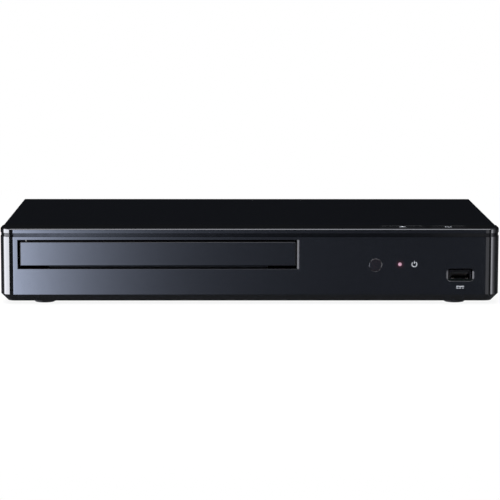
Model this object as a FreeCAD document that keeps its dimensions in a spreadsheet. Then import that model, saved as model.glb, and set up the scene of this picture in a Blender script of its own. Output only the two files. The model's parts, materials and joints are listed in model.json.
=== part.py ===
"""A compact blu-ray player: housing, controls, boards, tray loader and pickup unit, in millimetres.

The origin is the middle of the footprint, on the surface that the player stands on.
X runs to the right as seen from the front, Y to the back and Z up.
The tray is shut and the pickup unit is lowered, as the player is between discs.
"""
import FreeCAD, Part
import math
import os
import re

import Sketcher

SIZES = {
    # Housing
    "body_width": 312.0,
    "body_depth": 172.0,
    "panel_height": 46.0,
    "foot_clearance": 1.8,
    "jack_reach": 8.0,
    "sheet": 0.8,
    "floor_lift": 1.2,
    "cover_drop": 0.3,
    "cover_inset": 0.4,
    "cover_lift": 3.6,
    "cover_bend": 1.0,
    "cover_lap": 3.0,
    "seam": 0.3,
    "flange_height": 12.0,
    "rear_sheet": 1.0,
    "flange_margin": 8.0,
    "flange_setback": 2.0,
    "lap_reach": 2.0,
    "cover_tab_drop": 5.0,
    "cover_tab_margin": 7.0,
    "side_screw_front": 25.0,
    "side_screw_back": 30.0,
    "side_screw_raise": 1.0,
    "rear_screw_inset": 11.0,
    "rear_flange_lift": 4.0,
    # Air slots
    "slot_half": 1.1,
    "cover_slot_drop": 11.0,
    "cover_slot_length": 11.0,
    "cover_slot_start": 70.0,
    "cover_slot_run": 55.0,
    "cover_slot_count": 12,
    "floor_slot_start": 20.0,
    "floor_slot_run": 54.0,
    "floor_slot_count": 10,
    "floor_slot_margin": 10.5,
    "rear_slot_lift": 14.0,
    "rear_slot_length": 13.0,
    "rear_slot_run": 60.0,
    "rear_slot_count": 13,
    # Front panel
    "panel_wall": 2.2,
    "top_wall": 2.0,
    "strip_depth": 19.0,
    "corner_radius": 9.0,
    "bottom_chamfer": 4.4,
    "top_round": 1.0,
    "groove_height": 2.3,
    "groove_depth": 0.8,
    "groove_drop": 3.1,
    "lip_depth": 5.5,
    "lip_height": 3.8,
    "tab_width": 14.0,
    "tab_length": 9.0,
    "tab_thickness": 2.0,
    "tab_spacing": 118.0,
    "boss_inset": 4.0,
    # Feet and screws
    "foot_radius": 6.5,
    "foot_taper": 1.0,
    "foot_inset": 27.0,
    "foot_setback": 14.0,
    "screw_head": 2.7,
    "screw_shank": 1.5,
    "screw_head_height": 0.9,
    "screw_length": 3.6,
    "screw_play": 0.2,
    "post_bore": 2.4,
    # Tray door
    "door_left": 12.8,
    "door_width": 171.6,
    "door_height": 15.2,
    "door_lift": 22.4,
    "door_thickness": 2.4,
    "door_edge": 0.3,
    "gap_left": 1.6,
    "gap_right": 2.0,
    "gap_top": 1.2,
    "gap_bottom": 1.9,
    "hook_width": 16.0,
    "hook_reach": 3.0,
    "hook_thickness": 1.4,
    "hook_spacing": 80.0,
    "hook_root": 0.4,
    # Front window, light and socket, measured from the panel's right end and its lower edge
    "window_radius": 4.1,
    "window_inset": 77.8,
    "window_lift": 23.1,
    "window_play": 0.1,
    "window_thickness": 1.8,
    "window_sink": 0.1,
    "receiver_width": 6.0,
    "receiver_depth": 3.0,
    "receiver_rise": 3.5,
    "receiver_setback": 2.0,
    "receiver_dome": 2.4,
    "receiver_dome_depth": 1.4,
    "receiver_leg": 0.7,
    "receiver_outer_leg": 1.05,
    "light_radius": 1.0,
    "light_inset": 62.5,
    "light_lift": 23.5,
    "light_play": 0.15,
    "light_reach": 4.0,
    "light_leg": 2.4,
    "light_slant": 1.0,
    "light_slant_drop": 1.6,
    "led_height": 1.2,
    "led_width": 2.0,
    "led_depth": 2.2,
    "usb_inset": 24.7,
    "usb_lift": 16.8,
    "usb_opening_width": 15.0,
    "usb_opening_height": 6.8,
    "usb_opening_round": 1.0,
    "usb_shell_width": 13.1,
    "usb_shell_height": 5.7,
    "usb_shell_length": 14.0,
    "usb_shell_wall": 0.35,
    "usb_tongue_width": 11.1,
    "usb_tongue_height": 1.9,
    "usb_tongue_length": 9.0,
    "usb_tongue_drop": 0.4,
    "usb_core": 3.0,
    "usb_core_lap": 0.5,
    "usb_shell_round": 0.5,
    "usb_setback": 0.6,
    # Buttons in the top strip
    "button_setback": 4.0,
    "button_depth": 10.0,
    "button_right": 19.2,
    "power_button_width": 25.0,
    "open_button_width": 31.4,
    "button_space": 0.7,
    "button_play": 0.25,
    "button_flange": 0.8,
    "button_flange_thickness": 1.0,
    "button_lug": 8.0,
    "button_travel": 0.4,
    "switch_size": 6.0,
    "switch_height": 2.8,
    "plunger_radius": 1.6,
    "plunger_play": 0.25,
    "plunger_engagement": 1.2,
    "plunger_reach": 1.1,
    # Boards
    "board_thickness": 1.6,
    "board_lift": 5.8,
    "board_margin": 3.5,
    "board_gap": 1.2,
    "post_radius": 3.0,
    "post_setback": 24.0,
    "boards_apart": 3.5,
    "key_board_margin": 8.0,
    "key_board_width": 76.0,
    "key_board_depth": 14.0,
    "key_board_setback": 1.2,
    "front_board_width": 80.0,
    "front_board_depth": 25.0,
    "front_board_setback": 1.2,
    "front_board_margin": 10.0,
    "main_board_depth": 92.0,
    "main_board_space": 9.0,
    "power_board_width": 46.0,
    "power_board_depth": 112.0,
    "power_board_space": 4.0,
    # Rear sockets
    "hdmi_width": 15.0,
    "hdmi_height": 5.6,
    "hdmi_depth": 12.0,
    "hdmi_wall": 0.6,
    "hdmi_shoulder": 1.6,
    "hdmi_round": 0.8,
    "hdmi_tongue_inset": 3.0,
    "hdmi_tongue_lift": 2.4,
    "hdmi_tongue_height": 0.8,
    "hdmi_tongue_setback": 1.5,
    "lan_width": 16.0,
    "lan_height": 13.5,
    "lan_depth": 21.0,
    "lan_wall": 1.6,
    "lan_back": 5.0,
    "lan_step": 3.0,
    "lan_latch_width": 6.0,
    "coax_width": 10.0,
    "coax_height": 13.0,
    "coax_depth": 11.0,
    "coax_centre": 8.0,
    "barrel_radius": 4.15,
    "barrel_wall": 0.9,
    "neck_inset": 0.5,
    "neck_length": 0.4,
    "core_radius": 2.375,
    "core_bore": 1.675,
    "core_setback": 0.5,
    "inlet_offset": 13.0,
    "inlet_width": 22.0,
    "inlet_height": 15.0,
    "inlet_depth": 17.0,
    "inlet_mouth_radius": 4.2,
    "inlet_pin_radius": 1.2,
    "inlet_pin_spacing": 8.6,
    "inlet_recess": 11.0,
    "inlet_pin_length": 9.0,
    "inlet_round": 2.0,
    "socket_play": 0.3,
    # Board components
    "heatsink_size": 30.0,
    "heatsink_base": 2.5,
    "heatsink_height": 14.0,
    "fin_thickness": 1.4,
    "fin_count": 6,
    "chip_size": 22.0,
    "chip_height": 2.0,
    "chip_setback": 38.6,
    "memory_width": 10.0,
    "memory_depth": 11.0,
    "memory_height": 1.2,
    "memory_setback": 9.0,
    "memory_apart": 4.0,
    "flash_width": 13.0,
    "flash_depth": 8.0,
    "flash_setback": 24.0,
    "can_radius": 3.15,
    "can_height": 7.0,
    "can_inset": 5.0,
    "can_setback": 10.0,
    "can_pitch": 7.4,
    "plug_depth": 5.0,
    "plug_height": 4.0,
    "plug_inset": 1.0,
    "panel_plug_width": 12.0,
    "drive_plug_length": 22.0,
    "drive_plug_setback": 53.0,
    "harness_plug_length": 18.0,
    "harness_plug_height": 6.0,
    "harness_setback": 48.0,
    "transformer_width": 26.0,
    "transformer_depth": 22.0,
    "transformer_height": 20.0,
    "transformer_setback": 34.0,
    "transformer_leg": 4.0,
    "transformer_yoke": 3.0,
    "part_space": 7.0,
    "can_gap": 1.2,
    "capacitor_radius": 7.0,
    "capacitor_height": 24.0,
    "small_can_radius": 4.0,
    "small_can_height": 14.0,
    "small_can_pitch": 10.0,
    "small_can_setback": 24.0,
    "sink_height": 20.0,
    "sink_length": 18.0,
    "sink_plate": 2.0,
    "sink_foot": 7.0,
    "sink_offset": 6.0,
    "fuse_radius": 2.6,
    "fuse_length": 18.0,
    "fuse_lift": 3.2,
    "fuse_inset": 9.5,
    "fuse_setback": 4.0,
    # Cables
    "ribbon_thickness": 0.3,
    "ribbon_end": 4.0,
    "panel_ribbon_width": 10.0,
    "panel_ribbon_drop": 10.0,
    "panel_ribbon_rise": 12.0,
    "panel_ribbon_lift": 3.0,
    "drive_ribbon_inset": 1.0,
    "drive_ribbon_start": 24.0,
    "drive_ribbon_rise": 6.0,
    "drive_ribbon_lift": 0.4,
    "harness_inset": 2.0,
    "harness_thickness": 1.2,
    "harness_rise": 3.0,
    # Disc tray
    "tray_rim": 5.4,
    "tray_front_rim": 7.0,
    "tray_behind": 8.6,
    "tray_under": 1.0,
    "skirt_height": 3.4,
    "skirt_width": 3.0,
    "tray_plate": 4.6,
    "tray_corner": 6.0,
    "large_disc": 60.6,
    "small_disc": 40.6,
    "large_recess": 2.6,
    "small_recess": 0.8,
    "slot_radius": 20.0,
    "slot_reach": 43.0,
    "notch_radius": 12.0,
    "notch_across": 41.2,
    "notch_back": 43.6,
    # Loader frame
    "loader_lift": 4.0,
    "loader_floor": 2.0,
    "loader_wall": 2.0,
    "loader_ear": 6.0,
    "loader_setback": 5.0,
    "loader_behind": 3.0,
    "floor_gap": 1.0,
    "ear_front": 34.0,
    "ear_back": 8.0,
    "tray_play": 0.6,
    "ledge_width": 3.2,
    "ledge_thickness": 2.0,
    "ledge_play": 0.3,
    "wall_over_tray": 4.3,
    "deck_depth": 25.0,
    "deck_drop": 5.8,
    "deck_thickness": 1.6,
    "front_wall": 1.6,
    "lift_space": 3.0,
    "lift_space_back": 1.0,
    "cam_space": 2.0,
    "bearing_size": 4.0,
    "guide_spacing": 24.0,
    "guide_width": 8.0,
    "guide_wall": 1.6,
    "guide_play": 0.4,
    "guide_lip": 1.4,
    "guide_rise": 1.2,
    "guide_drop": 3.0,
    # Clamp
    "bridge_thickness": 1.2,
    "bridge_depth": 44.0,
    "bridge_hole": 11.5,
    "bridge_rib": 2.4,
    "puck_radius": 16.0,
    "puck_neck": 10.5,
    "puck_flange": 14.0,
    "puck_flange_height": 1.2,
    "puck_body": 2.8,
    "puck_drop": 3.5,
    "puck_recess_radius": 7.9,
    "puck_recess_depth": 2.4,
    "puck_play": 0.3,
    "puck_lead": 1.2,
    "puck_edge": 0.8,
    # Loading drive
    "gear_module": 1.0,
    "tray_gear_teeth": 22,
    "pinion_teeth": 10,
    "rack_lead": 4,
    "rack_root": 0.5,
    "tooth_play": 0.36,
    "root_relief": 0.4,
    "gear_setback": 14.0,
    "gear_height": 4.2,
    "gear_lift": 4.4,
    "post_pin": 1.5,
    "bore_play": 0.1,
    "post_shortfall": 0.3,
    "pinion_shortfall": 1.0,
    "wheel_radius": 11.0,
    "wheel_height": 3.0,
    "wheel_rim": 0.6,
    "wheel_lift": 0.6,
    "pulley_radius": 3.2,
    "motor_spacing": 38.0,
    "motor_radius": 12.0,
    "motor_height": 11.0,
    "shaft_radius": 1.0,
    "shaft_space": 1.5,
    "motor_boss_radius": 3.0,
    "motor_boss_height": 1.2,
    "belt_size": 1.2,
    "belt_play": 0.15,
    "belt_groove": 0.9,
    # Slide cam
    "cam_thickness": 3.0,
    "cam_setback": 3.0,
    "cam_travel": 24.5,
    "cam_slot_play": 0.35,
    "cam_rim": 1.4,
    "cam_end": 6.0,
    # Lift frame and pickup unit, in their raised position
    "lift_drop": 9.5,
    "pivot_inset": 7.0,
    "pivot_drop": 15.5,
    "pivot_radius": 2.0,
    "pivot_play": 0.08,
    "pivot_length": 4.6,
    "pivot_root": 1.0,
    "lift_half_width": 50.0,
    "lift_bar": 7.0,
    "lift_thickness": 3.0,
    "lift_front": 28.0,
    "lift_back": 3.0,
    "lift_pad": 12.0,
    "lift_pad_lap": 2.0,
    "cam_horn_width": 8.0,
    "cam_horn_depth": 3.0,
    "cam_horn_rise": 2.4,
    "cam_pin_radius": 1.5,
    "cam_pin_raise": 4.0,
    "cam_pin_half_spacing": 30.0,
    "cam_pin_reach": 9.0,
    "damper_radius": 4.0,
    "damper_height": 3.0,
    "damper_hole": 1.3,
    "plate_thickness": 1.5,
    "disc_lift": 1.5,
    "plate_drop": 10.0,
    "plate_inset": 2.5,
    "plate_front": 3.6,
    "plate_round": 4.0,
    "plate_opening": 4.0,
    "feed_space": 0.6,
    "turntable_radius": 14.2,
    "turntable_height": 3.5,
    "hub_radius": 7.3,
    "hub_height": 2.4,
    "hub_rise": 0.8,
    "hub_taper": 1.6,
    "hub_groove": 0.5,
    "hub_groove_width": 0.8,
    "hub_groove_taper": 0.4,
    "rotor_radius": 12.0,
    "rotor_height": 4.7,
    "motor_base": 1.0,
    "bearing_radius": 4.0,
    "bearing_length": 4.0,
    "bearing_floor": 1.0,
    "shaft_shortfall": 0.4,
    "motor_base_half": 14.0,
    "motor_base_front": 15.0,
    "motor_base_back": 11.0,
    "rod_radius": 1.5,
    "rod_spacing": 50.0,
    "rod_drop": 1.8,
    "rod_start": 11.0,
    "rod_inset": 6.0,
    "clip_size": 6.0,
    "clip_lap": 1.0,
    "clip_length": 4.0,
    "sled_width": 42.0,
    "sled_length": 34.0,
    "sled_start": 14.0,
    "sled_height": 10.0,
    "sled_bottom": 3.6,
    "sled_play": 0.08,
    "sled_nose": 6.0,
    "sled_nose_depth": 4.0,
    "sled_ear": 3.2,
    "sled_ear_height": 5.2,
    "sled_ear_lap": 2.0,
    "sled_ear_front": 8.0,
    "sled_ear_back": 2.0,
    "drive_ear_front": 14.0,
    "drive_ear_length": 8.0,
    "follower_length": 6.0,
    "follower_drop": 1.8,
    "follower_height": 3.0,
    "follower_play": 0.3,
    "lens_well": 2.0,
    "lens_well_drop": 3.0,
    "lens_well_front": 1.2,
    "sled_tub": 3.0,
    "lens_offset": 24.0,
    "lens_radius": 2.2,
    "lens_rise": 1.7,
    "holder_size": 11.0,
    "holder_height": 2.4,
    "holder_round": 1.0,
    "holder_ring": 1.0,
    "holder_ring_drop": 0.3,
    "holder_step": 0.3,
    "lens_seat": 0.6,
    "lens_rim_drop": 0.7,
    "lens_shoulder": 0.2,
    "lens_shoulder_radius": 1.54,
    "lens_crown_radius": 0.77,
    "screw_offset": 34.0,
    "lead_radius": 1.5,
    "lead_inset": 7.6,
    "lead_play": 0.4,
    "lead_spigot": 3.0,
    "lead_spigot_in": 2.0,
    "lead_clip_space": 3.0,
    "feed_motor_radius": 5.0,
    "feed_motor_length": 14.0,
}

NEAR = 0.02
FAR = 10.0

document = FreeCAD.newDocument("Player")
sheet = document.addObject("Spreadsheet::Sheet", "Sizes")
sub_parts = []


def fill_sheet():
    """Writes each driving dimension into a cell of its own and names the cell."""
    for row, (name, size) in enumerate(SIZES.items(), start=1):
        sheet.set(f"A{row}", name.replace("_", " "))
        sheet.set(f"B{row}", str(size))
        sheet.setAlias(f"B{row}", name)
    document.recompute()


def bound(expression):
    """The expression with every size's name in the form that points into the sheet."""
    def point(word):
        return f"Sizes.{word.group()}" if word.group() in SIZES else word.group()
    return re.sub(r"[a-z][a-z_0-9]*", point, str(expression))


def number(expression):
    """What an expression of sizes comes to."""
    return float(sheet.evalExpression(bound(expression)))


# Faces and centres that several pieces share, each worked out from the sizes

FRONT = "(-(body_depth + jack_reach) / 2)"
REAR = "((body_depth - jack_reach) / 2)"
LEFT = "(-body_width / 2)"
RIGHT = "(body_width / 2)"
PANEL_BOTTOM = "foot_clearance"
PANEL_TOP = "(foot_clearance + panel_height)"
STRIP_BACK = f"({FRONT} + strip_depth)"
STRIP_UNDER = f"({PANEL_TOP} - top_wall)"
FLOOR_UNDER = "(foot_clearance + floor_lift)"
FLOOR = "(foot_clearance + floor_lift + sheet)"
COVER_TOP = f"({PANEL_TOP} - cover_drop)"
COVER_FRONT = f"({STRIP_BACK} + seam)"
COVER_SIDE = "(body_width / 2 - cover_inset)"
COVER_INSIDE = "(body_width / 2 - cover_inset - sheet)"
CHASSIS_SIDE = "(body_width / 2 - cover_inset - sheet)"
CHASSIS_FRONT = f"({FRONT} + lip_depth + seam)"
CHASSIS_REAR = f"({REAR} - rear_sheet)"
TAB_X = ("(-tab_spacing)", "0", "tab_spacing")
TAB_SCREW_Y = f"({CHASSIS_FRONT} + tab_length / 2)"
SIDE_SCREW_Z = f"({FLOOR_UNDER} + flange_height / 2 + side_screw_raise)"
SIDE_SCREW_Y = (f"({REAR} - side_screw_back)", f"({STRIP_BACK} + side_screw_front)")
REAR_TAB_Z = f"({COVER_TOP} - sheet - cover_tab_drop)"
REAR_FLANGE_Z = f"({FLOOR} + rear_flange_lift)"

DOOR_LEFT = f"({LEFT} + door_left)"
DOOR_RIGHT = f"({LEFT} + door_left + door_width)"
DOOR_BOTTOM = f"({PANEL_BOTTOM} + door_lift)"
DOOR_TOP = f"({PANEL_BOTTOM} + door_lift + door_height)"
DRIVE_X = f"({LEFT} + door_left + door_width / 2)"

TRAY_FRONT = f"({FRONT} + door_thickness)"
TRAY_BACK = f"({CHASSIS_REAR} - tray_behind)"
TRAY_HALF = "(large_disc + tray_rim)"
TRAY_BOTTOM = f"({DOOR_BOTTOM} + tray_under)"
TRAY_UNDER = f"({TRAY_BOTTOM} + skirt_height)"
TRAY_TOP = f"({TRAY_UNDER} + tray_plate)"
RECESS = f"({TRAY_TOP} - large_recess)"
DISC_Y = f"({TRAY_FRONT} + tray_front_rim + large_disc)"
TRAY_LEFT = f"({DRIVE_X} - {TRAY_HALF})"
TRAY_RIGHT = f"({DRIVE_X} + {TRAY_HALF})"
SKIRT_INNER = f"({TRAY_LEFT} + skirt_width)"

LOADER_BASE = f"({FLOOR} + loader_lift)"
LOADER_FLOOR = f"({LOADER_BASE} + loader_floor)"
LOADER_FRONT = f"({FRONT} + loader_setback)"
LOADER_BACK = f"({CHASSIS_REAR} - loader_behind)"
LOADER_HALF = f"({TRAY_HALF} + tray_play)"
LOADER_OUTER = f"({LOADER_HALF} + loader_wall)"
EAR_OUTER = f"({LOADER_OUTER} + loader_ear)"
EAR_HOLE = f"({LOADER_OUTER} + loader_ear / 2)"
EAR_Y = (f"({LOADER_FRONT} + ear_front)", f"({LOADER_BACK} - ear_back)")
LEDGE_TOP = f"({TRAY_BOTTOM} - ledge_play)"
WALL_TOP = f"({TRAY_TOP} + wall_over_tray)"
DECK_TOP = f"({TRAY_BOTTOM} - deck_drop)"
DECK_UNDER = f"({DECK_TOP} - deck_thickness)"
DECK_BACK = f"({LOADER_FRONT} + deck_depth)"
FLOOR_START = f"({DECK_BACK} + floor_gap)"

ADDENDUM = "gear_module"
DEDENDUM = "(gear_module * 1.25)"
PITCH = "(gear_module * pi)"
FLANK = "tan(20)"
HALF_TOOTH = f"({PITCH} / 4 - tooth_play / 2)"
RACK_PITCH_X = f"({SKIRT_INNER} + {DEDENDUM})"
GEAR_RADIUS = "(gear_module * tray_gear_teeth / 2)"
PINION_RADIUS = "(gear_module * pinion_teeth / 2)"
GEAR_X = f"({RACK_PITCH_X} + {GEAR_RADIUS})"
GEAR_Y = f"({LOADER_FRONT} + gear_setback)"
WHEEL_X = f"({GEAR_X} + {GEAR_RADIUS} + {PINION_RADIUS})"
MOTOR_X = f"({WHEEL_X} + motor_spacing)"
GEAR_BOTTOM = f"({DECK_TOP} + gear_lift)"
WHEEL_BOTTOM = f"({DECK_TOP} + wheel_lift)"
WHEEL_MIDDLE = f"({WHEEL_BOTTOM} + wheel_height / 2)"
GEAR_TURN = "90"
WHEEL_TURN = "(90 + (tray_gear_teeth + 1) * 180 / pinion_teeth)"
SKIRT_BACK = f"({TRAY_BACK} - tray_corner)"
RACK_START = f"({GEAR_Y} - rack_lead * {PITCH})"
RACK_GAPS = f"floor(({SKIRT_BACK} - {RACK_START}) / {PITCH} - 1)"

SEAT = f"({RECESS} + disc_lift)"
PIVOT_Y = f"({LOADER_BACK} - pivot_inset)"
PIVOT_Z = f"({SEAT} - pivot_drop)"
PLATE_TOP = f"({SEAT} - plate_drop)"
PLATE_UNDER = f"({PLATE_TOP} - plate_thickness)"
LIFT_TOP = f"({PLATE_UNDER} - damper_height)"
LIFT_UNDER = f"({LIFT_TOP} - lift_thickness)"
LIFT_FRONT = f"({DISC_Y} - lift_front)"
LIFT_BACK = f"({PIVOT_Y} + lift_back)"
DAMPER_X = "(lift_half_width - lift_pad / 2)"
DAMPER_Y = (f"({LIFT_FRONT} + lift_pad / 2)", f"({LIFT_BACK} - lift_bar - lift_pad / 2 + lift_pad_lap)")
CAM_PIN_Z = f"({PIVOT_Z} + cam_pin_raise)"
ROD_Z = f"({PLATE_UNDER} - rod_drop)"
ROD_FRONT = f"({DISC_Y} + rod_start)"
ROD_BACK = f"({LIFT_BACK} - rod_inset)"
ROD_LENGTH = f"({ROD_BACK} - {ROD_FRONT})"
SLED_FRONT = f"({DISC_Y} + sled_start)"
SLED_BACK = f"({SLED_FRONT} + sled_length)"
SLED_BOTTOM = f"({PLATE_UNDER} - sled_bottom)"
SLED_TOP = f"({SLED_BOTTOM} + sled_height)"
LENS_TOP = f"({SEAT} - lens_rise)"
LENS_Y = f"({DISC_Y} + lens_offset)"
LEAD_X = f"({DRIVE_X} + screw_offset)"
LEAD_FRONT = f"({ROD_FRONT} + clip_length + lead_clip_space)"
LEAD_BACK = f"({ROD_BACK} - lead_inset)"
SLED_EAR = "(rod_spacing / 2 + sled_ear)"
LENS_WELL = "(holder_size / 2 + lens_well)"

CAM_FRONT = f"({DECK_BACK} + cam_setback)"
CAM_BACK = f"({CAM_FRONT} + cam_thickness)"
CAM_ARM = f"({PIVOT_Y} - {CAM_FRONT} - cam_thickness / 2)"
TILT = f"asin(lift_drop / {CAM_ARM})"
CAM_LOW_Z = f"({PIVOT_Z} + cam_pin_raise * cos({TILT}) - lift_drop)"
CAM_SLOT = "(cam_pin_radius + cam_slot_play)"

BOARD_UNDER = f"({FLOOR} + board_lift)"
BOARD_TOP = f"({BOARD_UNDER} + board_thickness)"
MAIN_LEFT = f"({DRIVE_X} + {EAR_OUTER} + main_board_space)"
MAIN_BACK = f"({REAR} - rear_sheet - board_gap)"
MAIN_FRONT = f"({MAIN_BACK} - main_board_depth)"
POWER_LEFT = f"({COVER_INSIDE} - power_board_space - power_board_width)"
POWER_FRONT = f"({MAIN_BACK} - power_board_depth)"
POWER_MIDDLE = f"({POWER_LEFT} + power_board_width / 2)"
MAIN_RIGHT = f"({POWER_LEFT} - boards_apart)"
MAIN_WIDTH = f"({MAIN_RIGHT} - {MAIN_LEFT})"
CHIP_X = f"(({MAIN_LEFT} + {MAIN_RIGHT}) / 2)"
CHIP_Y = f"({MAIN_FRONT} + chip_setback)"
HARNESS_Y = f"({MAIN_BACK} - harness_setback)"
DRIVE_PLUG_Y = f"({MAIN_BACK} - drive_plug_setback)"
REAR_SCREW_X = (f"({DRIVE_X} - {LOADER_OUTER} + rear_screw_inset)", f"({POWER_LEFT} - boards_apart / 2)")
SWITCH_TOP = f"({STRIP_UNDER} - seam - button_flange_thickness - plunger_reach)"
KEY_TOP = f"({SWITCH_TOP} - switch_height)"
KEY_UNDER = f"({KEY_TOP} - board_thickness)"
KEY_FRONT = f"({FRONT} + panel_wall + key_board_setback)"
BUTTON_RIGHT = f"({RIGHT} - button_right)"
BUTTON_RADIUS = "(button_depth / 2)"
BUTTON_Y = f"({FRONT} + button_setback + button_depth / 2)"
BUTTON_SPLIT = f"({BUTTON_RIGHT} - power_button_width - button_space / 2)"
KEY_RIGHT = f"({BUTTON_RIGHT} + key_board_margin)"
KEY_LEFT = f"({KEY_RIGHT} - key_board_width)"
POWER_BUTTON = (f"({BUTTON_SPLIT} + button_space / 2)", BUTTON_RIGHT)
OPEN_BUTTON = (f"({BUTTON_SPLIT} - button_space / 2 - open_button_width)",
               f"({BUTTON_SPLIT} - button_space / 2)")
USB_X = f"({RIGHT} - usb_inset)"
USB_Z = f"({PANEL_BOTTOM} + usb_lift)"
USB_FRONT = f"({FRONT} + usb_setback)"
FRONT_BOARD_TOP = f"({USB_Z} - usb_shell_height / 2)"
FRONT_BOARD_UNDER = f"({FRONT_BOARD_TOP} - board_thickness)"
FRONT_BOARD_FRONT = f"({FRONT} + panel_wall + front_board_setback)"
FRONT_BOARD_RIGHT = f"({RIGHT} - front_board_margin)"
FRONT_BOARD_LEFT = f"({FRONT_BOARD_RIGHT} - front_board_width)"
FRONT_BOARD_BACK = f"({FRONT_BOARD_FRONT} + front_board_depth)"
RIBBON_X = f"(({FRONT_BOARD_LEFT} + {MAIN_RIGHT}) / 2)"
WINDOW_X = f"({RIGHT} - window_inset)"
WINDOW_Z = f"({PANEL_BOTTOM} + window_lift)"
LIGHT_X = f"({RIGHT} - light_inset)"
LIGHT_Z = f"({PANEL_BOTTOM} + light_lift)"

SOCKET_GAP = f"(({MAIN_WIDTH} - coax_width - hdmi_width - lan_width) / 4)"
COAX_X = f"({MAIN_LEFT} + {SOCKET_GAP} + coax_width / 2)"
COAX_Z = f"({BOARD_TOP} + coax_centre)"
HDMI_X = f"({MAIN_LEFT} + 2 * {SOCKET_GAP} + coax_width + hdmi_width / 2)"
LAN_X = f"({MAIN_RIGHT} - {SOCKET_GAP} - lan_width / 2)"
INLET_X = f"({POWER_LEFT} + power_board_width - inlet_offset)"
INLET_Z = f"({BOARD_TOP} + inlet_height / 2)"


# Outlines: each returns a function that draws itself into a sketch, with every point held by the sheet

def hold(sketch, index, vertex, x, y):
    """Holds one point of a sketch at x, y."""
    for kind, coordinate in (("DistanceX", x), ("DistanceY", y)):
        rule = Sketcher.Constraint(kind, -1, 1, index, vertex, number(coordinate))
        place = sketch.addConstraint(rule)
        sketch.setExpression(f"Constraints[{place}]", bound(coordinate))


def hold_radius(sketch, index, radius):
    """Holds the radius of one circle or arc."""
    place = sketch.addConstraint(Sketcher.Constraint("Radius", index, number(radius)))
    sketch.setExpression(f"Constraints[{place}]", bound(radius))


def polygon(*corners):
    """A closed outline through the corners."""
    def draw(sketch):
        first = sketch.GeometryCount
        points = [FreeCAD.Vector(number(x), number(y)) for x, y in corners]
        for start, end in zip(points, points[1:] + points[:1]):
            sketch.addGeometry(Part.LineSegment(start, end), False)
        for place, (x, y) in enumerate(corners):
            before = (place - 1) % len(corners)
            sketch.addConstraint(Sketcher.Constraint("Coincident", first + before, 2, first + place, 1))
            hold(sketch, first + place, 1, x, y)
    return draw


def rectangle(x_low, y_low, x_high, y_high):
    """A rectangle between two opposite corners."""
    return polygon((x_low, y_low), (x_high, y_low), (x_high, y_high), (x_low, y_high))


def circle(x, y, radius):
    """A circle about x, y."""
    def draw(sketch):
        centre = FreeCAD.Vector(number(x), number(y))
        index = sketch.addGeometry(Part.Circle(centre, FreeCAD.Vector(0, 0, 1), number(radius)), False)
        hold(sketch, index, 3, x, y)
        hold_radius(sketch, index, radius)
    return draw


def arc(x, y, radius, start, end):
    """An arc about x, y between two angles in degrees, anticlockwise."""
    ring = Part.Circle(FreeCAD.Vector(x, y), FreeCAD.Vector(0, 0, 1), radius)
    return Part.ArcOfCircle(ring, math.radians(start), math.radians(end))


def rounded(x_low, y_low, x_high, y_high, radius):
    """A rectangle with four round corners."""
    def draw(sketch):
        first = sketch.GeometryCount
        left, low, right, high, bend = (number(size) for size in (x_low, y_low, x_high, y_high, radius))
        near_left, near_right = f"({x_low}) + ({radius})", f"({x_high}) - ({radius})"
        near_low, near_high = f"({y_low}) + ({radius})", f"({y_high}) - ({radius})"
        sides = [((near_left, y_low), (near_right, y_low)), ((x_high, near_low), (x_high, near_high)),
                 ((near_right, y_high), (near_left, y_high)), ((x_low, near_high), (x_low, near_low))]
        centres = [(right - bend, low + bend), (right - bend, high - bend),
                   (left + bend, high - bend), (left + bend, low + bend)]
        for turn, (side, centre) in enumerate(zip(sides, centres)):
            ends = [FreeCAD.Vector(number(x), number(y)) for x, y in side]
            sketch.addGeometry(Part.LineSegment(*ends), False)
            sketch.addGeometry(arc(*centre, bend, 90 * turn - 90, 90 * turn), False)
        for turn, side in enumerate(sides):
            line, bent = first + 2 * turn, first + 2 * turn + 1
            following = first + (2 * turn + 2) % 8
            sketch.addConstraint(Sketcher.Constraint("Coincident", line, 2, bent, 1))
            sketch.addConstraint(Sketcher.Constraint("Coincident", bent, 2, following, 1))
            hold(sketch, line, 1, *side[0])
            hold(sketch, line, 2, *side[1])
            hold_radius(sketch, bent, radius)
    return draw


def pill(x_start, y_start, x_end, y_end, radius):
    """A slot with round ends about two centres."""
    def draw(sketch):
        first = sketch.GeometryCount
        start = FreeCAD.Vector(number(x_start), number(y_start))
        end = FreeCAD.Vector(number(x_end), number(y_end))
        along = end - start
        heading = math.degrees(math.atan2(along.y, along.x))
        side = FreeCAD.Vector(-along.y, along.x, 0).normalize() * number(radius)
        sketch.addGeometry(Part.LineSegment(start - side, end - side), False)
        sketch.addGeometry(arc(end.x, end.y, number(radius), heading - 90, heading + 90), False)
        sketch.addGeometry(Part.LineSegment(end + side, start + side), False)
        sketch.addGeometry(arc(start.x, start.y, number(radius), heading + 90, heading + 270), False)
        for place in range(4):
            following = first + (place + 1) % 4
            sketch.addConstraint(Sketcher.Constraint("Tangent", first + place, 2, following, 1))
        sketch.addConstraint(Sketcher.Constraint("Equal", first + 1, first + 3))
        hold(sketch, first + 1, 3, x_end, y_end)
        hold(sketch, first + 3, 3, x_start, y_start)
        hold_radius(sketch, first + 1, radius)
    return draw


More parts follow.
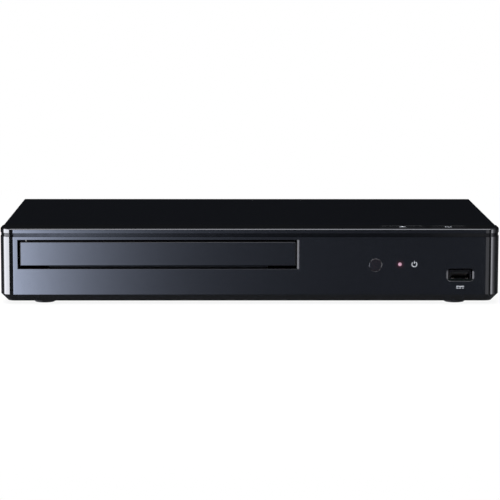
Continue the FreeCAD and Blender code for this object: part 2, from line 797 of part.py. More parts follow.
class Piece:
    """A sub-part built from sketches on its own origin planes.

    A sketch lies at one coordinate of the axis across it, and what is raised or cut from it runs
    towards the higher coordinates of that axis.
    """

    def __init__(self, label):
        self.body = document.addObject("PartDesign::Body", f"{label}_body")
        self.body.AllowCompound = True
        self.origin = {feature.Role: feature for feature in self.body.Origin.OriginFeatures}
        keep(label, self.body)

    def sketch(self, plane, at, outlines):
        sketch = self.body.newObject("Sketcher::SketchObject", "Outline")
        sketch.AttachmentSupport = [(self.origin[f"{plane}_Plane"], "")]
        sketch.MapMode = "FlatFace"
        side = "-1" if plane == "XZ" else "1"
        sketch.setExpression("AttachmentOffset.Base.z", bound(f"{side} * ({at})"))
        for outline in outlines:
            outline(sketch)
        return sketch

    def raise_from(self, plane, at, length, *outlines):
        sketch = self.sketch(plane, at, outlines)
        pad = self.body.newObject("PartDesign::Pad", "Raised")
        pad.Profile = sketch
        pad.Reversed = plane == "XZ"
        pad.setExpression("Length", bound(length))
        document.recompute()
        return pad

    def cut_from(self, plane, at, length, *outlines):
        sketch = self.sketch(plane, at, outlines)
        pocket = self.body.newObject("PartDesign::Pocket", "Cut")
        pocket.Profile = sketch
        pocket.Reversed = plane != "XZ"
        pocket.setExpression("Length", bound(length))
        document.recompute()
        return pocket

    def turn(self, *corners):
        """Turns a profile of radius and height about the Z axis."""
        sketch = self.sketch("XZ", "0", [polygon(*corners)])
        turned = self.body.newObject("PartDesign::Revolution", "Turned")
        turned.Profile = sketch
        turned.ReferenceAxis = (self.origin["Z_Axis"], [""])
        turned.Angle = 360
        document.recompute()
        return turned

    def repeat_along(self, feature, axis, length, count):
        """Repeats a feature along an axis, over a length."""
        pattern = self.body.newObject("PartDesign::LinearPattern", "Row")
        pattern.Originals = [feature]
        pattern.Direction = (self.origin[f"{axis}_Axis"], [""])
        pattern.setExpression("Length", bound(length))
        pattern.setExpression("Occurrences", bound(count))
        self.body.Tip = pattern
        document.recompute()
        return pattern

    def repeat_round(self, feature, count):
        """Repeats a feature round the Z axis."""
        pattern = self.body.newObject("PartDesign::PolarPattern", "Ring")
        pattern.Originals = [feature]
        pattern.Axis = (self.origin["Z_Axis"], [""])
        pattern.Angle = 360
        pattern.setExpression("Occurrences", bound(count))
        self.body.Tip = pattern
        document.recompute()
        return pattern

    def edges(self, **where):
        """The names of the edges that lie wholly at the given coordinates."""
        found = set()
        for place, edge in enumerate(self.body.Tip.Shape.Edges, start=1):
            box = edge.BoundBox
            ends = [(getattr(box, f"{axis}Min"), getattr(box, f"{axis}Max"), number(at))
                    for axis, at in where.items()]
            if all(abs(low - at) < NEAR and abs(high - at) < NEAR for low, high, at in ends):
                found.add(f"Edge{place}")
        return found

    def dress(self, kind, size_name, size, edges):
        base = self.body.Tip
        feature = self.body.newObject(f"PartDesign::{kind}", kind)
        feature.Base = (base, sorted(edges))
        feature.setExpression(size_name, bound(size))
        document.recompute()

    def round_off(self, radius, edges):
        self.dress("Fillet", "Radius", radius, edges)

    def bevel(self, size, edges):
        self.dress("Chamfer", "Size", size, edges)


def keep(label, shape):
    """Names a finished sub-part."""
    shape.Label = label
    sub_parts.append(shape)
    return shape


def place(shape, x="0", y="0", z="0"):
    """Sets a piece's own origin at x, y, z."""
    for axis, coordinate in (("x", x), ("y", y), ("z", z)):
        shape.setExpression(f"Placement.Base.{axis}", bound(coordinate))


def place_in_lift(shape, x="0", y="0", z="0"):
    """Sets a piece of the pickup unit: its place when raised, swung down about the pivot."""
    back, up = f"(({y}) - {PIVOT_Y})", f"(({z}) - {PIVOT_Z})"
    lean = FreeCAD.Rotation(FreeCAD.Vector(1, 0, 0), number(TILT))
    shape.Placement = FreeCAD.Placement(FreeCAD.Vector(), lean)
    shape.setExpression("Placement.Rotation.Angle", bound(TILT))
    place(shape, x, f"{PIVOT_Y} + {back} * cos({TILT}) - {up} * sin({TILT})",
          f"{PIVOT_Z} + {back} * sin({TILT}) + {up} * cos({TILT})")


def block(x_low, y_low, z_low, x_high, y_high, z_high):
    """A box between two opposite corners."""
    shape = document.addObject("Part::Box", "Block")
    shape.setExpression("Length", bound(f"({x_high}) - ({x_low})"))
    shape.setExpression("Width", bound(f"({y_high}) - ({y_low})"))
    shape.setExpression("Height", bound(f"({z_high}) - ({z_low})"))
    place(shape, x_low, y_low, z_low)
    return shape


def rod(axis, x, y, z, radius, length):
    """A round bar from x, y, z along an axis."""
    lean = {"X": FreeCAD.Rotation(FreeCAD.Vector(0, 1, 0), 90),
            "Y": FreeCAD.Rotation(FreeCAD.Vector(1, 0, 0), -90),
            "Z": FreeCAD.Rotation()}[axis]
    shape = document.addObject("Part::Cylinder", "Bar")
    shape.Placement = FreeCAD.Placement(FreeCAD.Vector(), lean)
    shape.setExpression("Radius", bound(radius))
    shape.setExpression("Height", bound(length))
    place(shape, x, y, z)
    return shape


def cone(x, y, z, low_radius, high_radius, length):
    """An upright taper from x, y, z."""
    shape = document.addObject("Part::Cone", "Taper")
    shape.setExpression("Radius1", bound(low_radius))
    shape.setExpression("Radius2", bound(high_radius))
    shape.setExpression("Height", bound(length))
    place(shape, x, y, z)
    return shape


def join(shapes):
    """Several shapes as one."""
    joined = document.addObject("Part::MultiFuse", "Joined")
    joined.Shapes = shapes
    joined.Refine = True
    return joined


def cut(base, tools):
    """A shape with others taken out of it."""
    left = document.addObject("Part::Cut", "Left")
    left.Base = base
    left.Tool = tools[0] if len(tools) == 1 else join(tools)
    return left


# Housing

def make_front_panel():
    panel = Piece("front_panel")
    panel.raise_from("XY", PANEL_BOTTOM, "panel_height", rectangle(LEFT, FRONT, RIGHT, STRIP_BACK))
    panel.round_off("corner_radius", panel.edges(X=LEFT, Y=FRONT) | panel.edges(X=RIGHT, Y=FRONT))
    panel.bevel("bottom_chamfer", panel.edges(Z=PANEL_BOTTOM) - panel.edges(Y=STRIP_BACK))
    panel.round_off("top_round", panel.edges(Z=PANEL_TOP) - panel.edges(Y=STRIP_BACK))
    behind = f"{STRIP_BACK} + {FAR}"
    panel.cut_from(
        "XY", f"{PANEL_TOP} - groove_drop - groove_height", "groove_height",
        rectangle(f"{LEFT} - {FAR}", f"{FRONT} - {FAR}", f"{RIGHT} + {FAR}", f"{behind} + {FAR}"),
        rounded(f"{LEFT} + groove_depth", f"{FRONT} + groove_depth", f"{RIGHT} - groove_depth", behind,
                "corner_radius - groove_depth"))
    lip_top = f"{PANEL_BOTTOM} + lip_height"
    panel.cut_from("XY", lip_top, f"{STRIP_UNDER} - ({lip_top})",
                   rounded(f"{LEFT} + panel_wall", f"{FRONT} + panel_wall", f"{RIGHT} - panel_wall", behind,
                           "corner_radius - panel_wall"))
    panel.cut_from("XY", PANEL_BOTTOM, "lip_height",
                   rounded(f"{LEFT} + lip_depth", f"{FRONT} + lip_depth", f"{RIGHT} - lip_depth", behind,
                           "corner_radius / 2"))
    panel.cut_from("XZ", FRONT, "panel_wall",
                   rectangle(f"{DOOR_LEFT} - gap_left", f"{DOOR_BOTTOM} - gap_bottom",
                             f"{DOOR_RIGHT} + gap_right", f"{DOOR_TOP} + gap_top"))
    panel.cut_from("XZ", FRONT, "panel_wall",
                   rounded(f"{USB_X} - usb_opening_width / 2", f"{USB_Z} - usb_opening_height / 2",
                           f"{USB_X} + usb_opening_width / 2", f"{USB_Z} + usb_opening_height / 2",
                           "usb_opening_round"),
                   circle(WINDOW_X, WINDOW_Z, "window_radius"),
                   circle(LIGHT_X, LIGHT_Z, "light_radius + light_play"))
    for low, high in (POWER_BUTTON, OPEN_BUTTON):
        panel.cut_from("XY", STRIP_UNDER, "top_wall",
                       pill(f"{low} + {BUTTON_RADIUS}", BUTTON_Y, f"{high} - {BUTTON_RADIUS}", BUTTON_Y,
                            BUTTON_RADIUS))
    panel.raise_from("XY", KEY_TOP, f"{STRIP_UNDER} - {KEY_TOP}", *[post(x, y) for x, y in key_posts()])
    panel.cut_from("XY", KEY_TOP, "post_bore", *[circle(x, y, "screw_shank") for x, y in key_posts()])
    tabs = [rectangle(f"{x} - tab_width / 2", f"{FRONT} + lip_depth - seam", f"{x} + tab_width / 2",
                      f"{CHASSIS_FRONT} + tab_length") for x in TAB_X]
    panel.raise_from("XY", FLOOR, "tab_thickness", *tabs)
    panel.cut_from("XY", FLOOR, "tab_thickness",
                   *[circle(x, TAB_SCREW_Y, "screw_shank") for x in TAB_X])


def make_top_cover():
    cover = Piece("top_cover")
    bottom = f"({PANEL_BOTTOM} + cover_lift)"
    cover.raise_from("XY", bottom, f"{COVER_TOP} - {bottom}",
                     rectangle(f"-{COVER_SIDE}", COVER_FRONT, COVER_SIDE, REAR))
    cover.round_off("cover_bend", cover.edges(X=f"-{COVER_SIDE}", Z=COVER_TOP)
                    | cover.edges(X=COVER_SIDE, Z=COVER_TOP))
    cover.cut_from("XZ", f"{COVER_FRONT} - 1", f"{REAR} - {COVER_FRONT} + 2",
                   rectangle(f"-{COVER_INSIDE}", f"{bottom} - 1", COVER_INSIDE, f"{COVER_TOP} - sheet"))
    lap_top = f"({STRIP_UNDER} - seam)"
    lap_half = f"({COVER_INSIDE} - lip_depth)"
    cover.raise_from("YZ", f"-{lap_half}", f"2 * {lap_half}",
                     polygon((f"{COVER_FRONT} - cover_lap", f"{lap_top} - sheet"),
                             (f"{COVER_FRONT} + lap_reach", f"{lap_top} - sheet"),
                             (f"{COVER_FRONT} + lap_reach", f"{COVER_TOP} - sheet / 2"),
                             (f"{COVER_FRONT} + lap_reach - sheet", f"{COVER_TOP} - sheet / 2"),
                             (f"{COVER_FRONT} + lap_reach - sheet", lap_top),
                             (f"{COVER_FRONT} - cover_lap", lap_top)))
    for x in REAR_SCREW_X:
        cover.raise_from("XZ", f"{CHASSIS_REAR} - sheet", "sheet",
                         rectangle(f"{x} - cover_tab_margin", f"{REAR_TAB_Z} - cover_tab_drop",
                                   f"{x} + cover_tab_margin", f"{COVER_TOP} - sheet / 2"))
    cover.cut_from("XZ", f"{CHASSIS_REAR} - sheet", "sheet",
                   *[circle(x, REAR_TAB_Z, "screw_shank") for x in REAR_SCREW_X])
    cover.cut_from("YZ", LEFT, "body_width",
                   *[circle(y, SIDE_SCREW_Z, "screw_shank + screw_play") for y in SIDE_SCREW_Y])
    slot_y, slot_top = f"{REAR} - cover_slot_start", f"{COVER_TOP} - cover_slot_drop"
    slot = cover.cut_from("YZ", LEFT, "body_width",
                          pill(slot_y, f"{slot_top} - cover_slot_length", slot_y, slot_top, "slot_half"))
    cover.repeat_along(slot, "Y", "cover_slot_run", "cover_slot_count")


def post(x, y):
    """A standing post's outline."""
    return circle(x, y, "post_radius")


def board_posts(left, right, front, back):
    """The four corner points at which a board is screwed down."""
    return [(x, y) for x in (f"({left} + board_margin)", f"({right} - board_margin)")
            for y in (f"({front} + board_margin)", f"({back} - post_setback)")]


def main_posts():
    return board_posts(MAIN_LEFT, MAIN_RIGHT, MAIN_FRONT, MAIN_BACK)


def power_posts():
    return board_posts(POWER_LEFT, f"({POWER_LEFT} + power_board_width)", POWER_FRONT, MAIN_BACK)


def front_posts():
    y = f"({FRONT_BOARD_BACK} - board_margin)"
    return [(f"({FRONT_BOARD_LEFT} + board_margin)", y), (f"({FRONT_BOARD_RIGHT} - board_margin)", y)]


def key_posts():
    y = f"({KEY_FRONT} + key_board_depth / 2)"
    return [(f"({KEY_LEFT} + boss_inset)", y), (f"({KEY_RIGHT} - boss_inset)", y)]


def ear_points():
    return [(f"({DRIVE_X} + {side} * {EAR_HOLE})", y) for side in (-1, 1) for y in EAR_Y]


def make_bottom_chassis():
    chassis = Piece("bottom_chassis")
    neck = "(body_width / 2 - lip_depth - seam)"
    shoulder = f"{STRIP_BACK} + seam"
    flange_ends = (f"{shoulder} + flange_setback", f"{CHASSIS_REAR} - sheet - seam")
    right = [(f"{neck} - corner_radius / 2", CHASSIS_FRONT), (neck, f"{CHASSIS_FRONT} + corner_radius / 2"),
             (neck, shoulder), (CHASSIS_SIDE, shoulder), (CHASSIS_SIDE, CHASSIS_REAR)]
    left = [(f"-({x})", y) for x, y in reversed(right)]
    chassis.raise_from("XY", FLOOR_UNDER, "sheet", polygon(*right, *left))
    chassis.raise_from("XY", FLOOR_UNDER, "flange_height",
                       rectangle(f"-{CHASSIS_SIDE}", flange_ends[0], f"-{CHASSIS_SIDE} + sheet",
                                 flange_ends[1]),
                       rectangle(f"{CHASSIS_SIDE} - sheet", flange_ends[0], CHASSIS_SIDE, flange_ends[1]))
    for x in REAR_SCREW_X:
        chassis.raise_from("XZ", f"{CHASSIS_REAR} - sheet", "sheet",
                           rectangle(f"{x} - flange_margin", FLOOR_UNDER, f"{x} + flange_margin",
                                     f"{REAR_FLANGE_Z} + rear_flange_lift"))
    chassis.raise_from("XY", f"{FLOOR} - sheet / 2", "board_lift + sheet / 2",
                       *[post(x, y) for x, y in main_posts() + power_posts()])
    chassis.raise_from("XY", f"{FLOOR} - sheet / 2", f"{FRONT_BOARD_UNDER} - {FLOOR} + sheet / 2",
                       *[post(x, y) for x, y in front_posts()])
    chassis.raise_from("XY", f"{FLOOR} - sheet / 2", "loader_lift + sheet / 2",
                       *[circle(x, y, "loader_ear / 2") for x, y in ear_points()])
    for under, points in ((BOARD_UNDER, main_posts() + power_posts()), (FRONT_BOARD_UNDER, front_posts()),
                          (LOADER_BASE, ear_points())):
        chassis.cut_from("XY", f"{under} - post_bore", "post_bore",
                         *[circle(x, y, "screw_shank") for x, y in points])
    chassis.cut_from("XY", FLOOR_UNDER, "sheet",
                     *[circle(x, TAB_SCREW_Y, "screw_shank + screw_play") for x in TAB_X])
    chassis.cut_from("YZ", f"-{CHASSIS_SIDE}", f"2 * {CHASSIS_SIDE}",
                     *[circle(y, SIDE_SCREW_Z, "screw_shank") for y in SIDE_SCREW_Y])
    chassis.cut_from("XZ", f"{CHASSIS_REAR} - sheet", "sheet",
                     *[circle(x, REAR_FLANGE_Z, "screw_shank") for x in REAR_SCREW_X])
    slot_y = f"{POWER_FRONT} + floor_slot_start"
    slot = chassis.cut_from("XY", FLOOR_UNDER, "sheet",
                            pill(f"{POWER_LEFT} + floor_slot_margin", slot_y,
                                 f"{POWER_LEFT} + power_board_width - floor_slot_margin", slot_y,
                                 "slot_half"))
    chassis.repeat_along(slot, "Y", "floor_slot_run", "floor_slot_count")


def make_rear_panel():
    panel = Piece("rear_panel")
    half = f"({COVER_INSIDE} - seam)"
    panel.raise_from("XZ", CHASSIS_REAR, "rear_sheet",
                     rectangle(f"-{half}", FLOOR_UNDER, half, f"{COVER_TOP} - sheet"))
    panel.cut_from("XZ", CHASSIS_REAR, "rear_sheet",
                   rounded(*grown(HDMI_FACE), "hdmi_round"), rectangle(*grown(LAN_FACE)),
                   rounded(*grown(INLET_FACE), "inlet_round"),
                   circle(COAX_X, COAX_Z, "barrel_radius + socket_play"),
                   *[circle(x, z, "screw_shank + screw_play")
                     for x in REAR_SCREW_X for z in (REAR_TAB_Z, REAR_FLANGE_Z)])
    slot_x, slot_low = f"{DRIVE_X} - rear_slot_run / 2", f"{FLOOR} + rear_slot_lift"
    slot = panel.cut_from("XZ", CHASSIS_REAR, "rear_sheet",
                          pill(slot_x, slot_low, slot_x, f"{slot_low} + rear_slot_length", "slot_half"))
    panel.repeat_along(slot, "X", "rear_slot_run", "rear_slot_count")


def make_feet():
    low = "foot_radius - foot_taper"
    side = f"({RIGHT} - foot_inset)"
    feet = [cone(f"{sign} * {side}", y, "0", low, "foot_radius", FLOOR_UNDER)
            for sign in (-1, 1) for y in (f"{FRONT} + foot_setback", f"{REAR} - foot_setback")]
    keep("rubber_feet", join(feet))


def screw(axis, x, y, z, inward):
    """A pan-head screw whose head stands outward of x, y, z; inward is 1 or -1 along its axis."""
    shift = {"X": (1, 0, 0), "Y": (0, 1, 0), "Z": (0, 0, 1)}[axis]
    head_start = "-screw_head_height" if inward > 0 else "0"
    shank_start = "0" if inward > 0 else "-screw_length"
    head = rod(axis, *[f"{at} + {step} * ({head_start})" for at, step in zip((x, y, z), shift)],
               "screw_head", "screw_head_height")
    shank = rod(axis, *[f"{at} + {step} * ({shank_start})" for at, step in zip((x, y, z), shift)],
                "screw_shank", "screw_length")
    return join([head, shank])


def make_housing_screws():
    sides = [screw("X", f"{-side} * {COVER_SIDE}", y, SIDE_SCREW_Z, side)
             for side in (1, -1) for y in SIDE_SCREW_Y]
    back = [screw("Y", x, REAR, z, -1) for x in REAR_SCREW_X for z in (REAR_TAB_Z, REAR_FLANGE_Z)]
    under = [screw("Z", x, TAB_SCREW_Y, FLOOR_UNDER, 1) for x in TAB_X]
    boards = [screw("Z", x, y, BOARD_TOP, -1) for x, y in main_posts() + power_posts()]
    boards += [screw("Z", x, y, FRONT_BOARD_TOP, -1) for x, y in front_posts()]
    boards += [screw("Z", x, y, KEY_UNDER, 1) for x, y in key_posts()]
    loader = [screw("Z", x, y, LOADER_FLOOR, -1) for x, y in ear_points()]
    keep("case_screws", join(sides + back + under + boards + loader))


# Front controls

def make_buttons():
    foot = f"({STRIP_UNDER} - seam - button_flange_thickness)"
    for label, (low, high) in (("power_button", POWER_BUTTON), ("open_close_button", OPEN_BUTTON)):
        button = Piece(label)
        radius = f"({BUTTON_RADIUS} - button_play)"
        start, end = f"{low} + {BUTTON_RADIUS}", f"{high} - {BUTTON_RADIUS}"
        button.raise_from("XY", foot, "button_flange_thickness",
                          pill(start, BUTTON_Y, end, BUTTON_Y, f"{radius} - button_flange"))
        button.raise_from("XY", f"{foot} + button_flange_thickness",
                          f"{PANEL_TOP} - {foot} - button_flange_thickness",
                          pill(start, BUTTON_Y, end, BUTTON_Y, radius))
        lug = f"({radius} + button_flange)"
        button.raise_from("XY", foot, "button_flange_thickness",
                          rectangle(f"({low} + {high} - button_lug) / 2", f"{BUTTON_Y} - {lug}",
                                    f"({low} + {high} + button_lug) / 2", f"{BUTTON_Y} + {lug}"))


def make_switches():
    cases = []
    for label, (low, high) in (("power_switch_plunger", POWER_BUTTON),
                               ("open_close_switch_plunger", OPEN_BUTTON)):
        x = f"({low} + {high}) / 2"
        bottom = f"{SWITCH_TOP} - plunger_engagement"
        plunger = rod("Z", x, BUTTON_Y, bottom, "plunger_radius", "plunger_engagement + plunger_reach")
        keep(label, plunger)
        case = block(f"{x} - switch_size / 2", f"{BUTTON_Y} - switch_size / 2", KEY_TOP,
                     f"{x} + switch_size / 2", f"{BUTTON_Y} + switch_size / 2", SWITCH_TOP)
        well = rod("Z", x, BUTTON_Y, f"{bottom} - button_travel - plunger_play",
                   "plunger_radius + plunger_play",
                   "plunger_engagement + button_travel + 2 * plunger_play")
        cases.append(cut(case, [well]))
    keep("tact_switches", join(cases))


def make_key_board():
    board("key_board", KEY_LEFT, KEY_FRONT, KEY_UNDER, "key_board_width", "key_board_depth", key_posts())


def make_front_window():
    window = Piece("ir_window")
    window.raise_from("XZ", f"{FRONT} + window_sink", "window_thickness",
                      circle(WINDOW_X, WINDOW_Z, "window_radius - window_play"))
    receiver = Piece("ir_receiver")
    half, front = "receiver_width / 2", f"{FRONT_BOARD_FRONT} + receiver_setback"
    receiver.raise_from("XY", FRONT_BOARD_TOP, f"{WINDOW_Z} + receiver_rise - {FRONT_BOARD_TOP}",
                        rectangle(f"{WINDOW_X} - {half}", front, f"{WINDOW_X} + {half}",
                                  f"{front} + receiver_depth"))
    receiver.raise_from("XZ", f"{front} - receiver_dome_depth", "receiver_dome_depth + receiver_depth / 2",
                        circle(WINDOW_X, WINDOW_Z, "receiver_dome"))
    gaps = [(f"{WINDOW_X} + {low}", f"{WINDOW_X} + {high}")
            for low, high in (("-receiver_width / 2 + receiver_outer_leg", "-receiver_leg"),
                              ("receiver_leg", "receiver_width / 2 - receiver_outer_leg"))]
    receiver.cut_from("XZ", front, "receiver_depth",
                      *[rectangle(low, FRONT_BOARD_TOP, high, f"{WINDOW_Z} - receiver_rise")
                        for low, high in gaps])


def make_light():
    guide = Piece("power_light_guide")
    back = f"{FRONT_BOARD_FRONT} + light_reach"
    leg, led_top = f"{back} - light_leg", f"{FRONT_BOARD_TOP} + led_height"
    top = f"{LIGHT_Z} + light_radius"
    guide.raise_from("XZ", FRONT, f"{back} - {FRONT}", circle(LIGHT_X, LIGHT_Z, "light_radius"))
    guide.raise_from("YZ", f"{LIGHT_X} - light_radius", "2 * light_radius",
                     polygon((leg, led_top), (back, led_top), (back, f"{top} - light_slant_drop"),
                             (f"{back} - light_slant", top), (leg, top)))
    led = block(f"{LIGHT_X} - led_width / 2", leg, FRONT_BOARD_TOP, f"{LIGHT_X} + led_width / 2",
                f"{leg} + led_depth", led_top)
    keep("power_light", led)


def make_usb_socket():
    half, tall = "(usb_shell_width / 2)", "(usb_shell_height / 2)"
    back = f"({USB_FRONT} + usb_shell_length)"
    shell = Piece("usb_socket_shell")
    shell.raise_from("XZ", USB_FRONT, "usb_shell_length",
                     rounded(f"{USB_X} - {half}", f"{USB_Z} - {tall}", f"{USB_X} + {half}",
                             f"{USB_Z} + {tall}", "usb_shell_round"))
    shell.cut_from("XZ", USB_FRONT, "usb_shell_length - usb_shell_wall",
                   rectangle(f"{USB_X} - {half} + usb_shell_wall", f"{USB_Z} - {tall} + usb_shell_wall",
                             f"{USB_X} + {half} - usb_shell_wall", f"{USB_Z} + {tall} - usb_shell_wall"))
    tongue = Piece("usb_socket_tongue")
    core_back = f"({back} - usb_shell_wall)"
    tongue_top = f"{USB_Z} + {tall} - usb_shell_wall - usb_tongue_drop"
    tongue.raise_from("XZ", f"{core_back} - usb_core", "usb_core",
                      rectangle(f"{USB_X} - usb_tongue_width / 2", f"{USB_Z} - {tall} + usb_shell_wall",
                                f"{USB_X} + usb_tongue_width / 2", f"{USB_Z} + {tall} - usb_shell_wall"))
    tongue.raise_from("XZ", f"{core_back} - usb_core + usb_core_lap - usb_tongue_length",
                      "usb_tongue_length",
                      rectangle(f"{USB_X} - usb_tongue_width / 2", f"{tongue_top} - usb_tongue_height",
                                f"{USB_X} + usb_tongue_width / 2", tongue_top))


def board(label, left, front, bottom, width, depth, holes):
    """A printed board with its screw holes."""
    piece = Piece(label)
    piece.raise_from("XY", bottom, "board_thickness",
                     rectangle(left, front, f"{left} + {width}", f"{front} + {depth}"))
    piece.cut_from("XY", bottom, "board_thickness", *[circle(x, y, "screw_shank") for x, y in holes])


def make_boards():
    board("front_board", FRONT_BOARD_LEFT, FRONT_BOARD_FRONT, FRONT_BOARD_UNDER, "front_board_width",
          "front_board_depth", front_posts())
    board("main_board", MAIN_LEFT, MAIN_FRONT, BOARD_UNDER, MAIN_WIDTH, "main_board_depth", main_posts())
    board("power_board", POWER_LEFT, POWER_FRONT, BOARD_UNDER, "power_board_width", "power_board_depth",
          power_posts())


# Rear sockets

def face(x, width, z_low, height):
    return (f"{x} - {width} / 2", z_low, f"{x} + {width} / 2", f"{z_low} + {height}")


def grown(outline):
    """A rectangle with the socket's clearance all round."""
    x_low, z_low, x_high, z_high = outline
    return (f"{x_low} - socket_play", f"{z_low} - socket_play", f"{x_high} + socket_play",
            f"{z_high} + socket_play")


HDMI_FACE = face(HDMI_X, "hdmi_width", BOARD_TOP, "hdmi_height")
LAN_FACE = face(LAN_X, "lan_width", BOARD_TOP, "lan_height")
INLET_FACE = face(INLET_X, "inlet_width", BOARD_TOP, "inlet_height")


def make_hdmi_socket():
    x_low, z_low, x_high, z_high = HDMI_FACE
    left, low, right, high = (f"{x_low} + hdmi_wall", f"{z_low} + hdmi_wall", f"{x_high} - hdmi_wall",
                              f"{z_high} - hdmi_wall")
    tongue_low = f"{z_low} + hdmi_tongue_lift"
    socket = Piece("hdmi_socket")
    socket.raise_from("XZ", f"{REAR} - hdmi_depth", "hdmi_depth", rectangle(*HDMI_FACE))
    socket.cut_from("XZ", f"{REAR} - hdmi_depth + hdmi_wall", "hdmi_depth - hdmi_wall", polygon(
        (f"{left} + hdmi_shoulder", low), (f"{right} - hdmi_shoulder", low),
        (right, f"{low} + hdmi_shoulder"), (right, high), (left, high), (left, f"{low} + hdmi_shoulder")))
    socket.raise_from("XZ", f"{REAR} - hdmi_depth + hdmi_wall / 2",
                      "hdmi_depth - hdmi_wall / 2 - hdmi_tongue_setback",
                      rectangle(f"{x_low} + hdmi_tongue_inset", tongue_low, f"{x_high} - hdmi_tongue_inset",
                                f"{tongue_low} + hdmi_tongue_height"))


def make_lan_socket():
    x_low, z_low, x_high, z_high = LAN_FACE
    start, depth = f"{REAR} - lan_depth + lan_back", "lan_depth - lan_back"
    socket = Piece("lan_socket")
    socket.raise_from("XZ", f"{REAR} - lan_depth", "lan_depth", rectangle(*LAN_FACE))
    socket.cut_from("XZ", start, depth,
                    rectangle(f"{x_low} + lan_wall", f"{z_low} + lan_step", f"{x_high} - lan_wall",
                              f"{z_high} - lan_wall"))
    socket.cut_from("XZ", start, depth,
                    rectangle(f"{LAN_X} - lan_latch_width / 2", f"{z_low} + lan_wall / 2",
                              f"{LAN_X} + lan_latch_width / 2", f"{z_low} + lan_step"))


def make_coax_jack():
    body = block(f"{COAX_X} - coax_width / 2", f"{CHASSIS_REAR} - coax_depth", BOARD_TOP,
                 f"{COAX_X} + coax_width / 2", CHASSIS_REAR, f"{BOARD_TOP} + coax_height")
    start = f"{REAR} + neck_length"
    neck = rod("Y", COAX_X, CHASSIS_REAR, COAX_Z, "barrel_radius - neck_inset", "rear_sheet + neck_length")
    barrel = rod("Y", COAX_X, start, COAX_Z, "barrel_radius", "jack_reach - neck_length")
    bore = rod("Y", COAX_X, start, COAX_Z, "barrel_radius - barrel_wall", "jack_reach")
    core = rod("Y", COAX_X, REAR, COAX_Z, "core_radius", "jack_reach - core_setback")
    hole = rod("Y", COAX_X, start, COAX_Z, "core_bore", "jack_reach")
    shell = cut(join([body, neck, barrel]), [bore])
    keep("coax_jack", cut(join([shell, core]), [hole]))


def make_mains_inlet():
    inlet = Piece("mains_inlet")
    front = f"{REAR} - inlet_depth"
    inlet.raise_from("XZ", front, "inlet_depth", rounded(*INLET_FACE, "inlet_round"))
    half = "inlet_pin_spacing / 2"
    inlet.cut_from("XZ", f"{REAR} - inlet_recess", "inlet_recess",
                   pill(f"{INLET_X} - {half}", INLET_Z, f"{INLET_X} + {half}", INLET_Z,
                        "inlet_mouth_radius"))
    inlet.cut_from("XZ", front, "inlet_depth - inlet_recess",
                   *[circle(f"{INLET_X} + {side} * {half}", INLET_Z, "inlet_pin_radius")
                     for side in (-1, 1)])
    pins = [rod("Y", f"{INLET_X} + {side} * {half}", front, INLET_Z, "inlet_pin_radius",
                "inlet_depth - inlet_recess + inlet_pin_length") for side in (-1, 1)]
    keep("mains_inlet_pins", join(pins))


# Components on the boards

def chip(x, y, width, depth, height):
    """A flat part on the main board about x, with its front at y."""
    return block(f"{x} - ({width}) / 2", y, BOARD_TOP, f"{x} + ({width}) / 2", f"{y} + {depth}",
                 f"{BOARD_TOP} + {height}")


def make_main_components():
    memory_x = "(memory_width + memory_apart) / 2"
    chips = [chip(CHIP_X, f"{CHIP_Y} - chip_size / 2", "chip_size", "chip_size", "chip_height"),
             chip(CHIP_X, f"{CHIP_Y} + flash_setback", "flash_width", "flash_depth", "memory_height")]
    chips += [chip(f"({CHIP_X} + {side} * {memory_x})", f"{MAIN_FRONT} + memory_setback", "memory_width",
                   "memory_depth", "memory_height") for side in (-1, 1)]
    keep("main_chips", join(chips))

    sink = Piece("main_heatsink")
    base, half = f"{BOARD_TOP} + chip_height", "heatsink_size / 2"
    left, front, back = f"{CHIP_X} - {half}", f"{CHIP_Y} - {half}", f"{CHIP_Y} + {half}"
    sink.raise_from("XY", base, "heatsink_base", rectangle(left, front, f"{CHIP_X} + {half}", back))
    fin = sink.raise_from("XY", base, "heatsink_height",
                          rectangle(left, front, f"{left} + fin_thickness", back))
    sink.repeat_along(fin, "X", "heatsink_size - fin_thickness", "fin_count")

    rows = [f"{MAIN_FRONT} + can_setback + {row} * can_pitch" for row in (0, 1)]
    cans = [rod("Z", x, y, BOARD_TOP, "can_radius", "can_height")
            for x in (f"{MAIN_LEFT} + can_inset", f"{MAIN_RIGHT} - can_inset") for y in rows]
    keep("main_capacitors", join(cans))


def plug(x_low, y_low, x_high, y_high, height):
    """A connector that stands on a board."""
    return block(x_low, y_low, BOARD_TOP, x_high, y_high, f"{BOARD_TOP} + {height}")


def make_connectors():
    drive_x, panel_y = f"{MAIN_LEFT} + plug_inset", f"{MAIN_FRONT} + plug_inset"
    half = "panel_plug_width / 2"
    harness_back = f"{HARNESS_Y} + harness_plug_length"
    plugs = [plug(drive_x, DRIVE_PLUG_Y, f"{drive_x} + plug_depth", f"{DRIVE_PLUG_Y} + drive_plug_length",
                  "plug_height"),
             plug(f"{RIBBON_X} - {half}", panel_y, f"{RIBBON_X} + {half}", f"{panel_y} + plug_depth",
                  "plug_height")]
    plugs += [plug(x, HARNESS_Y, f"{x} + plug_depth", harness_back, "harness_plug_height")
              for x in (f"{MAIN_RIGHT} - plug_inset - plug_depth", f"{POWER_LEFT} + plug_inset")]
    keep("board_connectors", join(plugs))


